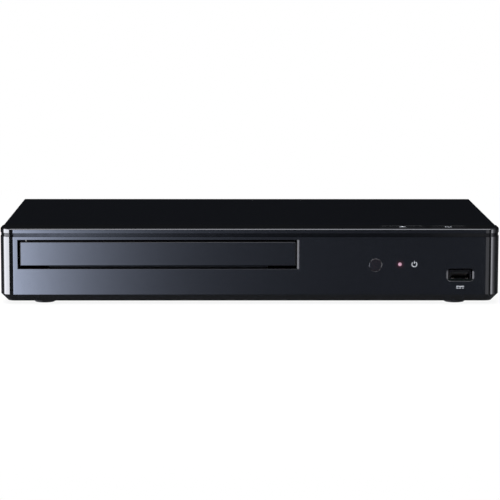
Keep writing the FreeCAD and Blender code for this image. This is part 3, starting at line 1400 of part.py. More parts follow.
def make_power_components():
    half = "transformer_width / 2"
    front = f"({POWER_FRONT} + transformer_setback)"
    back = f"({front} + transformer_depth)"
    core = block(f"{POWER_MIDDLE} - {half}", front, BOARD_TOP, f"{POWER_MIDDLE} + {half}", back,
                 f"{BOARD_TOP} + transformer_height")
    windows = [block(low, f"{front} - {FAR}", f"{BOARD_TOP} + transformer_yoke", high, f"{back} + {FAR}",
                     f"{BOARD_TOP} + transformer_height - transformer_yoke")
               for low, high in ((f"{POWER_MIDDLE} - {half} - {FAR}",
                                  f"{POWER_MIDDLE} - {half} + transformer_leg"),
                                 (f"{POWER_MIDDLE} + {half} - transformer_leg",
                                  f"{POWER_MIDDLE} + {half} + {FAR}"))]
    keep("power_transformer", cut(core, windows))
    big_x = f"{POWER_LEFT} + plug_inset + plug_depth + can_gap + capacitor_radius"
    cans = [rod("Z", big_x, f"{back} + part_space + capacitor_radius", BOARD_TOP, "capacitor_radius",
                "capacitor_height")]
    cans += [rod("Z", f"{POWER_MIDDLE} + {step} * small_can_pitch", f"{POWER_FRONT} + small_can_setback",
                 BOARD_TOP, "small_can_radius", "small_can_height") for step in (-1, 0, 1)]
    keep("power_capacitors", join(cans))
    plate_x, plate_y = f"({POWER_MIDDLE} + sink_offset)", f"({back} + part_space)"
    top = f"{BOARD_TOP} + sink_height"
    plate = block(plate_x, plate_y, BOARD_TOP, f"{plate_x} + sink_plate", f"{plate_y} + sink_length", top)
    shelf = block(plate_x, plate_y, f"{top} - sink_plate", f"{plate_x} + sink_plate + sink_foot",
                  f"{plate_y} + sink_length", top)
    keep("power_heatsink", join([plate, shelf]))
    keep("mains_fuse", rod("Y", f"{POWER_LEFT} + fuse_inset", f"{MAIN_BACK} - fuse_setback - fuse_length",
                           f"{BOARD_TOP} + fuse_lift", "fuse_radius", "fuse_length"))


def ribbon(label, plane, at, width, thickness, *path):
    """A flat cable: a strip of one thickness that follows a path of upright and level runs."""
    strip = Piece(label)
    upper = [(across, f"({up}) + {thickness}") for across, up in path]
    strip.raise_from(plane, at, width, polygon(*path, *reversed(upper)))


def make_cables():
    plug_z = f"{BOARD_TOP} + plug_height / 2"
    ribbon("panel_ribbon", "YZ", f"{RIBBON_X} - panel_ribbon_width / 2", "panel_ribbon_width",
           "ribbon_thickness",
           (f"{FRONT_BOARD_BACK} - ribbon_end", FRONT_BOARD_TOP),
           (f"{FRONT_BOARD_BACK} + ribbon_end / 2", FRONT_BOARD_TOP),
           (f"{FRONT_BOARD_BACK} + panel_ribbon_drop", f"{FLOOR} + panel_ribbon_lift"),
           (f"{MAIN_FRONT} - panel_ribbon_rise", f"{FLOOR} + panel_ribbon_lift"),
           (f"{MAIN_FRONT} - ribbon_end", plug_z), (f"{MAIN_FRONT} + plug_inset", plug_z))
    plug_top = f"{BOARD_TOP} + harness_plug_height"
    ribbon("power_harness", "XZ", f"{HARNESS_Y} + harness_inset", "harness_plug_length - 2 * harness_inset",
           "harness_thickness",
           (f"{MAIN_RIGHT} - plug_inset - plug_depth", plug_top),
           (f"{MAIN_RIGHT} - plug_inset", f"{plug_top} + harness_rise"),
           (f"{POWER_LEFT} + plug_inset", f"{plug_top} + harness_rise"),
           (f"{POWER_LEFT} + plug_inset + plug_depth", plug_top))
    ribbon("drive_ribbon", "XZ", f"{DRIVE_PLUG_Y} + drive_ribbon_inset",
           "drive_plug_length - 2 * drive_ribbon_inset", "ribbon_thickness",
           (f"{DRIVE_X} + {EAR_OUTER} - drive_ribbon_start", f"{FLOOR} + drive_ribbon_lift"),
           (f"{MAIN_LEFT} - drive_ribbon_rise", f"{FLOOR} + drive_ribbon_lift"),
           (f"{MAIN_LEFT} - drive_ribbon_rise / 2", plug_z), (f"{MAIN_LEFT} + plug_inset", plug_z))


# Tray and loader frame

def make_tray_door():
    door = Piece("tray_door")
    door.raise_from("XZ", FRONT, "door_thickness", rectangle(DOOR_LEFT, DOOR_BOTTOM, DOOR_RIGHT, DOOR_TOP))
    door.bevel("door_edge", door.edges(Y=FRONT))
    door.raise_from("XY", TRAY_TOP, "hook_thickness",
                    *[rectangle(f"{DRIVE_X} + {side} * hook_spacing / 2 - hook_width / 2",
                                f"{TRAY_FRONT} - hook_root",
                                f"{DRIVE_X} + {side} * hook_spacing / 2 + hook_width / 2",
                                f"{TRAY_FRONT} + hook_reach") for side in (-1, 1)])


def make_disc_tray():
    tray = Piece("disc_tray")
    tray.raise_from("XY", TRAY_UNDER, "tray_plate", rectangle(TRAY_LEFT, TRAY_FRONT, TRAY_RIGHT, TRAY_BACK))
    tray.round_off("tray_corner", tray.edges(X=TRAY_LEFT, Y=TRAY_BACK)
                   | tray.edges(X=TRAY_RIGHT, Y=TRAY_BACK))
    tray.cut_from("XY", RECESS, "large_recess", circle(DRIVE_X, DISC_Y, "large_disc"))
    tray.cut_from("XY", f"{RECESS} - small_recess", "small_recess", circle(DRIVE_X, DISC_Y, "small_disc"))
    tray.cut_from("XY", TRAY_UNDER, "tray_plate",
                  pill(DRIVE_X, DISC_Y, DRIVE_X, f"{DISC_Y} + slot_reach", "slot_radius"))
    tray.cut_from("XY", f"{RECESS}", "large_recess",
                  *[circle(f"{DRIVE_X} + {side} * notch_across", f"{DISC_Y} + notch_back", "notch_radius")
                    for side in (-1, 1)])
    tray.raise_from("XY", TRAY_BOTTOM, "skirt_height",
                    rectangle(TRAY_LEFT, TRAY_FRONT, SKIRT_INNER, SKIRT_BACK),
                    rectangle(f"{TRAY_RIGHT} - skirt_width", TRAY_FRONT, TRAY_RIGHT, SKIRT_BACK))
    tooth = tray.raise_from("XY", TRAY_BOTTOM, "skirt_height", rack_tooth(RACK_PITCH_X, RACK_START))
    tray.repeat_along(tooth, "Y", f"{RACK_GAPS} * {PITCH}", f"{RACK_GAPS} + 1")


def rack_tooth(x, y):
    """One tooth of a rack along Y, pointing to the right, about its pitch line at x."""
    root = f"({HALF_TOOTH} + {DEDENDUM} * {FLANK})"
    tip = f"({HALF_TOOTH} - {ADDENDUM} * {FLANK})"
    back = f"{x} - {DEDENDUM} - rack_root"
    return polygon((back, f"{y} - {root}"), (f"{x} - {DEDENDUM}", f"{y} - {root}"),
                   (f"{x} + {ADDENDUM}", f"{y} - {tip}"), (f"{x} + {ADDENDUM}", f"{y} + {tip}"),
                   (f"{x} - {DEDENDUM}", f"{y} + {root}"), (back, f"{y} + {root}"))


def make_loader_frame():
    frame = Piece("loader_frame")
    left, right = f"({DRIVE_X} - {LOADER_OUTER})", f"({DRIVE_X} + {LOADER_OUTER})"
    frame.raise_from("XY", LOADER_BASE, "loader_floor",
                     rectangle(f"{DRIVE_X} - {EAR_OUTER}", FLOOR_START, f"{DRIVE_X} + {EAR_OUTER}",
                               LOADER_BACK))
    frame.raise_from("XY", LOADER_BASE, f"{WALL_TOP} - {LOADER_BASE}",
                     rectangle(left, LOADER_FRONT, f"{left} + loader_wall", LOADER_BACK),
                     rectangle(f"{right} - loader_wall", LOADER_FRONT, right, LOADER_BACK))
    frame.raise_from("XY", LOADER_BASE, f"{LEDGE_TOP} - {LOADER_BASE}",
                     rectangle(left, LOADER_FRONT, right, f"{LOADER_FRONT} + front_wall"),
                     rectangle(left, f"{LOADER_BACK} - front_wall", right, LOADER_BACK))
    frame.raise_from("XY", f"{LEDGE_TOP} - ledge_thickness", "ledge_thickness",
                     rectangle(left, LOADER_FRONT, f"{left} + loader_wall + ledge_width", LOADER_BACK),
                     rectangle(f"{right} - loader_wall - ledge_width", LOADER_FRONT, right, LOADER_BACK))
    frame.raise_from("XY", DECK_UNDER, "deck_thickness", rectangle(left, LOADER_FRONT, right, DECK_BACK))
    well = "(lift_half_width + lift_space)"
    frame.cut_from("XY", LOADER_BASE, "loader_floor",
                   rectangle(f"{DRIVE_X} - {well}", FLOOR_START, f"{DRIVE_X} + {well}",
                             f"{LIFT_BACK} + lift_space_back"))
    frame.cut_from("XY", LOADER_BASE, "loader_floor",
                   rectangle(f"{DRIVE_X} - {LOADER_HALF}", FLOOR_START, f"{DRIVE_X} + {LOADER_HALF}",
                             f"{CAM_BACK} + cam_space"))
    for start in (f"{DRIVE_X} - {well} - bearing_size", f"{DRIVE_X} + {well}"):
        frame.raise_from("XY", LOADER_BASE, f"{PIVOT_Z} + bearing_size - {LOADER_BASE}",
                         rectangle(start, f"{PIVOT_Y} - bearing_size", f"{start} + bearing_size",
                                   f"{PIVOT_Y} + bearing_size"))
    frame.cut_from("YZ", f"{DRIVE_X} - {well} - bearing_size", f"2 * ({well} + bearing_size)",
                   circle(PIVOT_Y, PIVOT_Z, "pivot_radius + pivot_play"))
    frame.raise_from("XY", f"{DECK_TOP} - deck_thickness / 2",
                     "gear_lift + gear_height + deck_thickness / 2 - post_shortfall",
                     circle(GEAR_X, GEAR_Y, "post_pin"), circle(WHEEL_X, GEAR_Y, "post_pin"))
    frame.cut_from("XY", DECK_UNDER, "deck_thickness", circle(MOTOR_X, GEAR_Y, "shaft_radius + shaft_space"))
    top, inner = f"({LEDGE_TOP} + guide_rise)", f"({CAM_BACK} + guide_play)"
    ceiling, tip = f"({top} - guide_wall)", f"({top} - guide_drop)"
    for side in (-1, 1):
        guide = polygon((f"{DECK_BACK} - guide_wall", DECK_UNDER), (DECK_BACK, DECK_UNDER),
                        (DECK_BACK, ceiling), (inner, ceiling), (inner, tip), (f"{inner} + guide_lip", tip),
                        (f"{inner} + guide_lip", top), (f"{DECK_BACK} - guide_wall", top))
        frame.raise_from("YZ", f"{DRIVE_X} + ({side} * guide_spacing - guide_width) / 2", "guide_width",
                         guide)
    frame.cut_from("XY", LOADER_BASE, "loader_floor",
                   *[circle(x, y, "screw_shank") for x, y in ear_points()])


def make_clamp():
    bridge = Piece("clamp_bridge")
    left, right = f"({DRIVE_X} - {LOADER_OUTER})", f"({DRIVE_X} + {LOADER_OUTER})"
    front, back = f"({DISC_Y} - bridge_depth / 2)", f"({DISC_Y} + bridge_depth / 2)"
    bridge.raise_from("XY", WALL_TOP, "bridge_thickness", rectangle(left, front, right, back))
    bridge.raise_from("XY", WALL_TOP, "bridge_thickness + bridge_rib",
                      rectangle(left, front, right, f"{front} + bridge_thickness"),
                      rectangle(left, f"{back} - bridge_thickness", right, back))
    bridge.cut_from("XY", WALL_TOP, "bridge_thickness", circle(DRIVE_X, DISC_Y, "bridge_hole"))

    puck = Piece("clamp_puck")
    bottom = f"({WALL_TOP} - puck_drop)"
    waist = f"({bottom} + puck_body)"
    flange = f"({WALL_TOP} + bridge_thickness + puck_play)"
    recess = f"{bottom} + puck_recess_depth"
    puck.turn(("0", recess), ("puck_recess_radius - puck_lead", recess), ("puck_recess_radius", bottom),
              ("puck_radius", bottom), ("puck_radius", f"{waist} - puck_edge"),
              ("puck_radius - puck_edge", waist), ("puck_neck", waist), ("puck_neck", flange),
              ("puck_flange", flange), ("puck_flange", f"{flange} + puck_flange_height"),
              ("0", f"{flange} + puck_flange_height"))
    place(puck.body, DRIVE_X, DISC_Y)


# Loading drive

def toothed_wheel(piece, teeth, bottom, height):
    """A spur gear about the Z axis, its teeth cut from a round blank; a gap faces along +Y."""
    radius = f"(gear_module * {teeth} / 2)"
    piece.raise_from("XY", bottom, height, circle("0", "0", f"{radius} + {ADDENDUM}"))
    half = f"({PITCH} / 4 + tooth_play / 2)"
    widest = f"({half} + ({ADDENDUM} + root_relief) * {FLANK})"
    narrow = f"({half} - {DEDENDUM} * {FLANK} * root_relief)"
    gap = piece.cut_from("XY", bottom, height, polygon(
        (f"-{narrow}", f"{radius} - {DEDENDUM}"), (narrow, f"{radius} - {DEDENDUM}"), (half, radius),
        (widest, f"{radius} + {ADDENDUM} + root_relief"),
        (f"-{widest}", f"{radius} + {ADDENDUM} + root_relief"),
        (f"-{half}", radius)))
    piece.repeat_round(gap, teeth)


def make_loading_gears():
    gear = Piece("tray_gear")
    toothed_wheel(gear, "tray_gear_teeth", "0", "gear_height")
    gear.cut_from("XY", "0", "gear_height", circle("0", "0", "post_pin + bore_play"))
    turned(gear.body, GEAR_X, GEAR_Y, GEAR_BOTTOM, GEAR_TURN)

    wheel = Piece("pulley_gear")
    top = f"{GEAR_BOTTOM} - {WHEEL_BOTTOM} + gear_height"
    toothed_wheel(wheel, "pinion_teeth", "wheel_height", f"{top} - wheel_height - pinion_shortfall")
    floor = "wheel_radius - belt_groove"
    wheel.turn(("post_pin + bore_play", "0"), ("wheel_radius", "0"), ("wheel_radius", "wheel_rim"),
               (floor, "wheel_rim"), (floor, "wheel_height - wheel_rim"),
               ("wheel_radius", "wheel_height - wheel_rim"), ("wheel_radius", "wheel_height"),
               ("post_pin + bore_play", "wheel_height"))
    wheel.cut_from("XY", "0", top, circle("0", "0", "post_pin + bore_play"))
    turned(wheel.body, WHEEL_X, GEAR_Y, WHEEL_BOTTOM, WHEEL_TURN)


def turned(shape, x, y, z, angle):
    """Sets a wheel on its axle, turned about Z so that its teeth mesh."""
    turn = FreeCAD.Rotation(FreeCAD.Vector(0, 0, 1), number(angle))
    shape.Placement = FreeCAD.Placement(FreeCAD.Vector(), turn)
    shape.setExpression("Placement.Rotation.Angle", bound(angle))
    place(shape, x, y, z)


def make_loading_motor():
    low = f"{DECK_UNDER} - motor_height"
    can = rod("Z", MOTOR_X, GEAR_Y, low, "motor_radius", "motor_height")
    boss = rod("Z", MOTOR_X, GEAR_Y, f"{low} - motor_boss_height", "motor_boss_radius", "motor_boss_height")
    keep("loading_motor", join([can, boss]))
    pulley = Piece("motor_pulley")
    rim, top = "pulley_radius + belt_groove", f"({WHEEL_BOTTOM} + wheel_height)"
    pulley.turn(("0", DECK_UNDER), ("shaft_radius", DECK_UNDER), ("shaft_radius", WHEEL_BOTTOM),
                (rim, WHEEL_BOTTOM), (rim, f"{WHEEL_BOTTOM} + wheel_rim"),
                ("pulley_radius", f"{WHEEL_BOTTOM} + wheel_rim"), ("pulley_radius", f"{top} - wheel_rim"),
                (rim, f"{top} - wheel_rim"), (rim, top), ("0", top))
    place(pulley.body, MOTOR_X, GEAR_Y)


def make_drive_belt():
    """A square belt round the pulley and the wheel, along the two outer tangents."""
    far, near = number("wheel_radius - belt_groove + belt_play"), number("pulley_radius + belt_play")
    gap, thick = number("motor_spacing"), number("belt_size")
    lean = math.degrees(math.asin((far - near) / gap))

    def loop(grow):
        up = FreeCAD.Vector(0, 1, 0)
        across = FreeCAD.Rotation(FreeCAD.Vector(0, 0, 1), -lean).multVec(up)
        below = FreeCAD.Vector(across.x, -across.y)
        wheel, pulley = FreeCAD.Vector(0, 0, 0), FreeCAD.Vector(gap, 0, 0)
        high = [wheel + across * (far + grow), pulley + across * (near + grow)]
        low = [wheel + below * (far + grow), pulley + below * (near + grow)]
        edges = [Part.LineSegment(*high).toShape(),
                 Part.Arc(high[1], pulley + FreeCAD.Vector(near + grow, 0, 0), low[1]).toShape(),
                 Part.LineSegment(low[1], low[0]).toShape(),
                 Part.Arc(low[0], wheel - FreeCAD.Vector(far + grow, 0, 0), high[0]).toShape()]
        return Part.Face(Part.Wire(edges)).extrude(FreeCAD.Vector(0, 0, thick))

    belt = document.addObject("Part::Feature", "Belt")
    belt.Shape = loop(thick).cut(loop(0.0))
    keep("drive_belt", belt)
    place(belt, WHEEL_X, GEAR_Y, f"{WHEEL_MIDDLE} - belt_size / 2")


def make_slide_cam():
    cam = Piece("slide_cam")
    left = f"{DRIVE_X} - cam_pin_half_spacing - cam_travel - cam_end"
    right = f"{DRIVE_X} + cam_pin_half_spacing + cam_end"
    cam.raise_from("XZ", CAM_FRONT, "cam_thickness",
                   rectangle(left, f"{CAM_LOW_Z} - {CAM_SLOT} - cam_rim", right,
                             f"{CAM_PIN_Z} + {CAM_SLOT} + cam_rim"))
    for side in (-1, 1):
        x = f"({DRIVE_X} + {side} * cam_pin_half_spacing)"
        cam.cut_from("XZ", CAM_FRONT, "cam_thickness",
                     pill(x, CAM_LOW_Z, f"{x} - cam_travel", CAM_PIN_Z, CAM_SLOT))


# Pickup unit, drawn raised and then swung down

def make_lift_frame():
    lift = Piece("lift_frame")
    outer, inner = "lift_half_width", "(lift_half_width - lift_bar)"
    lift.raise_from("XY", LIFT_UNDER, "lift_thickness",
                    rectangle(f"{DRIVE_X} - {outer}", LIFT_FRONT, f"{DRIVE_X} + {outer}", LIFT_BACK),
                    rectangle(f"{DRIVE_X} - {inner}", f"{LIFT_FRONT} + lift_bar", f"{DRIVE_X} + {inner}",
                              f"{LIFT_BACK} - lift_bar + lift_pad_lap"))
    for x_side in (-1, 1):
        x = f"({DRIVE_X} + {x_side} * {DAMPER_X})"
        lift.raise_from("XY", LIFT_UNDER, "lift_thickness",
                        *[rectangle(f"{x} - lift_pad / 2", f"{y} - lift_pad / 2", f"{x} + lift_pad / 2",
                                    f"{y} + lift_pad / 2") for y in DAMPER_Y])
        pin_x = f"({DRIVE_X} + {x_side} * cam_pin_half_spacing)"
        half = "cam_horn_width / 2"
        lift.raise_from("XY", LIFT_UNDER, f"{CAM_PIN_Z} + cam_horn_rise - {LIFT_UNDER}",
                        rectangle(f"{pin_x} - {half}", LIFT_FRONT, f"{pin_x} + {half}",
                                  f"{LIFT_FRONT} + cam_horn_depth"))
        lift.raise_from("XZ", f"{LIFT_FRONT} - cam_pin_reach", "cam_pin_reach",
                        circle(pin_x, CAM_PIN_Z, "cam_pin_radius"))
        start = f"{DRIVE_X} - {outer} - pivot_length" if x_side < 0 else f"{DRIVE_X} + {outer} - pivot_root"
        lift.raise_from("YZ", start, "pivot_length + pivot_root", circle(PIVOT_Y, PIVOT_Z, "pivot_radius"))
    lift.cut_from("XY", LIFT_UNDER, "lift_thickness",
                  *[circle(x, y, "damper_hole") for x, y in damper_points()])
    place_in_lift(lift.body)


def damper_points():
    return [(f"({DRIVE_X} + {side} * {DAMPER_X})", y) for side in (-1, 1) for y in DAMPER_Y]


def make_dampers():
    rings = [cut(rod("Z", x, y, LIFT_TOP, "damper_radius", "damper_height"),
                 [rod("Z", x, y, LIFT_TOP, "damper_hole", "damper_height")]) for x, y in damper_points()]
    dampers = join(rings)
    keep("rubber_dampers", dampers)
    place_in_lift(dampers)


def make_traverse_plate():
    plate = Piece("traverse_plate")
    half = "(lift_half_width - plate_inset)"
    front, back = f"({LIFT_FRONT} + plate_front)", f"({LIFT_BACK} - lift_bar)"
    rod_x = [f"({DRIVE_X} + {side} * rod_spacing / 2)" for side in (-1, 1)]
    clips = (f"({ROD_FRONT} - clip_lap)", f"({ROD_BACK} - clip_length + clip_lap)")
    plate.raise_from("XY", PLATE_UNDER, "plate_thickness",
                     rounded(f"{DRIVE_X} - {half}", front, f"{DRIVE_X} + {half}", back, "plate_round"))
    clip_low = f"({ROD_Z} - clip_size / 2 + clip_lap)"
    plate.raise_from("XY", clip_low, f"{PLATE_TOP} - {clip_low}",
                     *[rectangle(f"{x} - clip_size / 2", y, f"{x} + clip_size / 2", f"{y} + clip_length")
                       for x in rod_x for y in clips])
    plate.cut_from("XY", PLATE_UNDER, "plate_thickness",
                   rectangle(f"{rod_x[0]} - plate_opening", f"{clips[0]} + clip_length",
                             f"{rod_x[1]} + plate_opening", clips[1]))
    feed_half = "(feed_motor_radius + feed_space)"
    plate.cut_from("XY", PLATE_UNDER, "plate_thickness",
                   rectangle(f"{LEAD_X} - {feed_half}", f"{LEAD_FRONT} - feed_motor_length - feed_space",
                             f"{LEAD_X} + {feed_half}", f"{LEAD_FRONT} + feed_space"))
    plate.cut_from("XY", PLATE_UNDER, "plate_thickness", circle(DRIVE_X, DISC_Y, "bearing_radius"),
                   *[circle(x, y, "damper_hole") for x, y in damper_points()])
    plate.cut_from("XZ", ROD_FRONT, ROD_LENGTH, *[circle(x, ROD_Z, "rod_radius") for x in rod_x])
    place_in_lift(plate.body)


def make_spindle():
    low, bearing_low = f"({SEAT} - turntable_height - rotor_height)", f"({PLATE_TOP} - bearing_length)"
    base = block(f"{DRIVE_X} - motor_base_half", f"{DISC_Y} - motor_base_front", PLATE_TOP,
                 f"{DRIVE_X} + motor_base_half", f"{DISC_Y} + motor_base_back", f"{PLATE_TOP} + motor_base")
    bearing = rod("Z", DRIVE_X, DISC_Y, bearing_low, "bearing_radius", "bearing_length + motor_base")
    bore = rod("Z", DRIVE_X, DISC_Y, f"{bearing_low} + bearing_floor", "shaft_radius + bore_play",
               "bearing_length + motor_base")
    motor = cut(join([base, bearing]), [bore])
    keep("spindle_motor", motor)
    place_in_lift(motor)
    table = Piece("turntable")
    shaft_end = f"{bearing_low} + bearing_floor + shaft_shortfall"
    groove = f"{SEAT} - hub_groove"
    table.turn(("0", shaft_end), ("shaft_radius", shaft_end), ("shaft_radius", low), ("rotor_radius", low),
               ("rotor_radius", f"{low} + rotor_height"), ("turntable_radius", f"{low} + rotor_height"),
               ("turntable_radius", SEAT), ("hub_radius + hub_groove_width", SEAT),
               ("hub_radius + hub_groove_taper", groove), ("hub_radius", groove),
               ("hub_radius", f"{SEAT} + hub_rise"), ("hub_radius - hub_taper", f"{SEAT} + hub_height"),
               ("0", f"{SEAT} + hub_height"))
    place_in_lift(table.body, DRIVE_X, DISC_Y)


def make_guide_rods():
    rods = join([rod("Y", f"{DRIVE_X} + {side} * rod_spacing / 2", ROD_FRONT, ROD_Z, "rod_radius", ROD_LENGTH)
                 for side in (-1, 1)])
    keep("guide_rods", rods)
    place_in_lift(rods)


def make_sled():
    sled = Piece("pickup_sled")
    left, right = f"({DRIVE_X} - sled_width / 2)", f"({DRIVE_X} + sled_width / 2)"
    nose_y, drive_y = f"{SLED_FRONT} + sled_nose_depth", f"{SLED_FRONT} + drive_ear_front"
    sled.raise_from("XY", SLED_BOTTOM, "sled_height", polygon(
        (left, nose_y), (f"{left} + sled_nose", SLED_FRONT), (f"{right} - sled_nose", SLED_FRONT),
        (right, nose_y), (right, SLED_BACK), (left, SLED_BACK)))
    sled.raise_from("XY", f"{ROD_Z} - sled_ear_height / 2", "sled_ear_height",
                    rectangle(f"{DRIVE_X} - {SLED_EAR}", f"{SLED_FRONT} + sled_ear_front",
                              f"{left} + sled_ear_lap", f"{SLED_BACK} - sled_ear_back"),
                    rectangle(f"{right} - sled_ear_lap", drive_y, f"{DRIVE_X} + {SLED_EAR}",
                              f"{drive_y} + drive_ear_length"))
    sled.cut_from("XZ", SLED_FRONT, "sled_length",
                  *[circle(f"{DRIVE_X} + {side} * rod_spacing / 2", ROD_Z, "rod_radius + sled_play")
                    for side in (-1, 1)])
    sled.cut_from("XY", f"{LENS_TOP} - holder_height - lens_well_drop", "sled_height",
                  rectangle(f"{DRIVE_X} - {LENS_WELL}", f"{LENS_Y} - holder_size / 2 - lens_well_front",
                            f"{DRIVE_X} + {LENS_WELL}", f"{LENS_Y} + {LENS_WELL}"))
    sled.cut_from("XY", f"{SLED_TOP} - sled_tub", "sled_tub",
                  rectangle(f"{left} + sled_tub", f"{LENS_Y} + {LENS_WELL} + lens_well",
                            f"{right} - sled_tub", f"{SLED_BACK} - sled_ear_back"))
    place_in_lift(sled.body)
    start = (f"{DRIVE_X} + {SLED_EAR}", f"{drive_y} + (drive_ear_length - follower_length) / 2",
             f"{ROD_Z} - follower_drop")
    follower = block(*start, f"{LEAD_X} - lead_radius - follower_play", f"{start[1]} + follower_length",
                     f"{start[2]} + follower_height")
    keep("sled_follower", follower)
    place_in_lift(follower, *start)


def make_lens():
    bottom = f"({LENS_TOP} - holder_height)"
    half, ring = "holder_size / 2", "holder_height - holder_ring_drop"
    holder = Piece("lens_holder")
    holder.raise_from("XY", bottom, f"{ring} - holder_step",
                      rounded(f"{DRIVE_X} - {half}", f"{LENS_Y} - {half}", f"{DRIVE_X} + {half}",
                              f"{LENS_Y} + {half}", "holder_round"))
    holder.raise_from("XY", bottom, ring, circle(DRIVE_X, LENS_Y, "lens_radius + holder_ring"))
    holder.cut_from("XY", bottom, "holder_height", circle(DRIVE_X, LENS_Y, "lens_radius"))
    place_in_lift(holder.body)
    lens = Piece("objective_lens")
    lens.turn(("0", f"{bottom} + lens_seat"), ("lens_radius", f"{bottom} + lens_seat"),
              ("lens_radius", f"{LENS_TOP} - lens_rim_drop"),
              ("lens_shoulder_radius", f"{LENS_TOP} - lens_shoulder"), ("lens_crown_radius", LENS_TOP),
              ("0", LENS_TOP))
    place_in_lift(lens.body, DRIVE_X, LENS_Y)


def make_feed_drive():
    body = rod("Y", LEAD_X, f"{LEAD_FRONT} - feed_motor_length", ROD_Z, "feed_motor_radius",
               "feed_motor_length")
    bore = rod("Y", LEAD_X, f"{LEAD_FRONT} - lead_spigot", ROD_Z, "shaft_radius", "lead_spigot")
    motor = cut(body, [bore])
    keep("feed_motor", motor)
    place_in_lift(motor)
    spindle = rod("Y", LEAD_X, f"{LEAD_FRONT} - lead_spigot_in", ROD_Z, "shaft_radius - bore_play / 2",
                  "lead_spigot")
    thread = rod("Y", LEAD_X, f"{LEAD_FRONT} + lead_play", ROD_Z, "lead_radius",
                 f"{LEAD_BACK} - {LEAD_FRONT} - lead_play")
    lead = join([spindle, thread])
    keep("lead_screw", lead)
    place_in_lift(lead)


def write_steps():
    """Writes each sub-part to its own file, if every object is sound."""
    document.recompute()
    faulty = [item.Label for item in document.Objects if {"Invalid", "Error"} & set(item.State)]
    faulty += [item.Label for item in sub_parts if item.Shape.isNull() or not item.Shape.isValid()]
    if faulty:
        raise RuntimeError("Unsound: " + ", ".join(faulty))
    os.makedirs("parts", exist_ok=True)
    for item in sub_parts:
        item.Shape.exportStep(os.path.join("parts", f"{item.Label}.step"))


fill_sheet()
make_front_panel()
make_top_cover()
make_bottom_chassis()
make_rear_panel()
make_feet()
make_housing_screws()
make_buttons()
make_switches()
make_key_board()
make_front_window()
make_light()
make_usb_socket()
make_boards()
make_hdmi_socket()
make_lan_socket()
make_coax_jack()
make_mains_inlet()
make_main_components()
make_connectors()
make_power_components()
make_cables()
make_tray_door()
make_disc_tray()
make_loader_frame()
make_clamp()
make_loading_gears()
make_loading_motor()
make_drive_belt()
make_slide_cam()
make_lift_frame()
make_dampers()
make_traverse_plate()
make_spindle()
make_guide_rods()
make_sled()
make_lens()
make_feed_drive()
write_steps()
print(f"{len(sub_parts)} sub-parts")
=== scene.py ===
"""A compact blu-ray player dressed for its portrait: the finishes, the fine parts and the studio.

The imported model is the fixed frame. Pieces that need a finer surface stand for their plain solids,
and all the others keep their solid and get a finish. Shapes are worked out in millimetres, and the
scene is in metres.
"""
import contextlib
import json
import math

import bmesh
import bpy
import numpy as np
from mathutils import Euler, Matrix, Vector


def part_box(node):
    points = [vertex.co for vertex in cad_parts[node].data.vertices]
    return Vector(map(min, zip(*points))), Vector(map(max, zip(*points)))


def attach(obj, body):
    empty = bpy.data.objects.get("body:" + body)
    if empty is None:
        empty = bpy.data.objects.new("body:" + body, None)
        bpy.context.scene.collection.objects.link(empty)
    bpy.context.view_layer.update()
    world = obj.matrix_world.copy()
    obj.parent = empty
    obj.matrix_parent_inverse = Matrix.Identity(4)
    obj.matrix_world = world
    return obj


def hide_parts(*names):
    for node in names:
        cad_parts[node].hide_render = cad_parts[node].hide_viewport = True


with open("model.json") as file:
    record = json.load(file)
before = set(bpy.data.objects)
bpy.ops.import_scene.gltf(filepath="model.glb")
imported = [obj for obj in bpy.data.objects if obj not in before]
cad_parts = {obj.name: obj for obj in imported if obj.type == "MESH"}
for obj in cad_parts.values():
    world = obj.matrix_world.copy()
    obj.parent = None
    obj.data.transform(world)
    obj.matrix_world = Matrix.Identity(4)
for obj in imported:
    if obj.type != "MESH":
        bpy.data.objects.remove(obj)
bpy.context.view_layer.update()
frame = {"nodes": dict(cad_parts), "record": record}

bl_info = {
    "name": "Blu-ray Player Finishes",
    "version": (1, 0, 0),
    "blender": (4, 5, 0),
    "location": "View3D > Sidebar > Player",
    "description": "Finishes, fine parts and studio for a compact blu-ray player",
    "category": "Object",
}

MM = 0.001
BEHAVIOUR = frame["record"]["behaviour"]
BODY_OF = {node: body for body, nodes in BEHAVIOUR["bodies"].items() for node in nodes}
JOINT_OF = {joint["name"]: joint for joint in BEHAVIOUR["joints"]}


def linear(hex_colour):
    """The linear colour, with full alpha, of an sRGB hex value."""
    shares = np.array([int(hex_colour[place:place + 2], 16) for place in (1, 3, 5)]) / 255
    low, high = shares / 12.92, ((shares + 0.055) / 1.055) ** 2.4
    return (*np.where(shares <= 0.04045, low, high).tolist(), 1.0)


def grain(size_mm):
    """A texture's scale for features of one size, as Object coordinates are in metres."""
    return 1000.0 / size_mm


def bands(pitch_mm):
    """A wave texture's scale for bands of one pitch: the wave is sin(20 * scale * place)."""
    return grain(pitch_mm) * math.pi / 10


# Sizes and colours that a user would change

def colour(name, description, hex_colour):
    return bpy.props.FloatVectorProperty(name=name, description=description, subtype="COLOR",
                                         size=4, min=0, max=1, default=linear(hex_colour))


def length(name, description, metres):
    return bpy.props.FloatProperty(name=name, description=description, subtype="DISTANCE",
                                   unit="LENGTH", precision=5, min=0, default=metres)


def angle(name, description, degrees):
    return bpy.props.FloatProperty(name=name, description=description, subtype="ANGLE",
                                   default=math.radians(degrees))


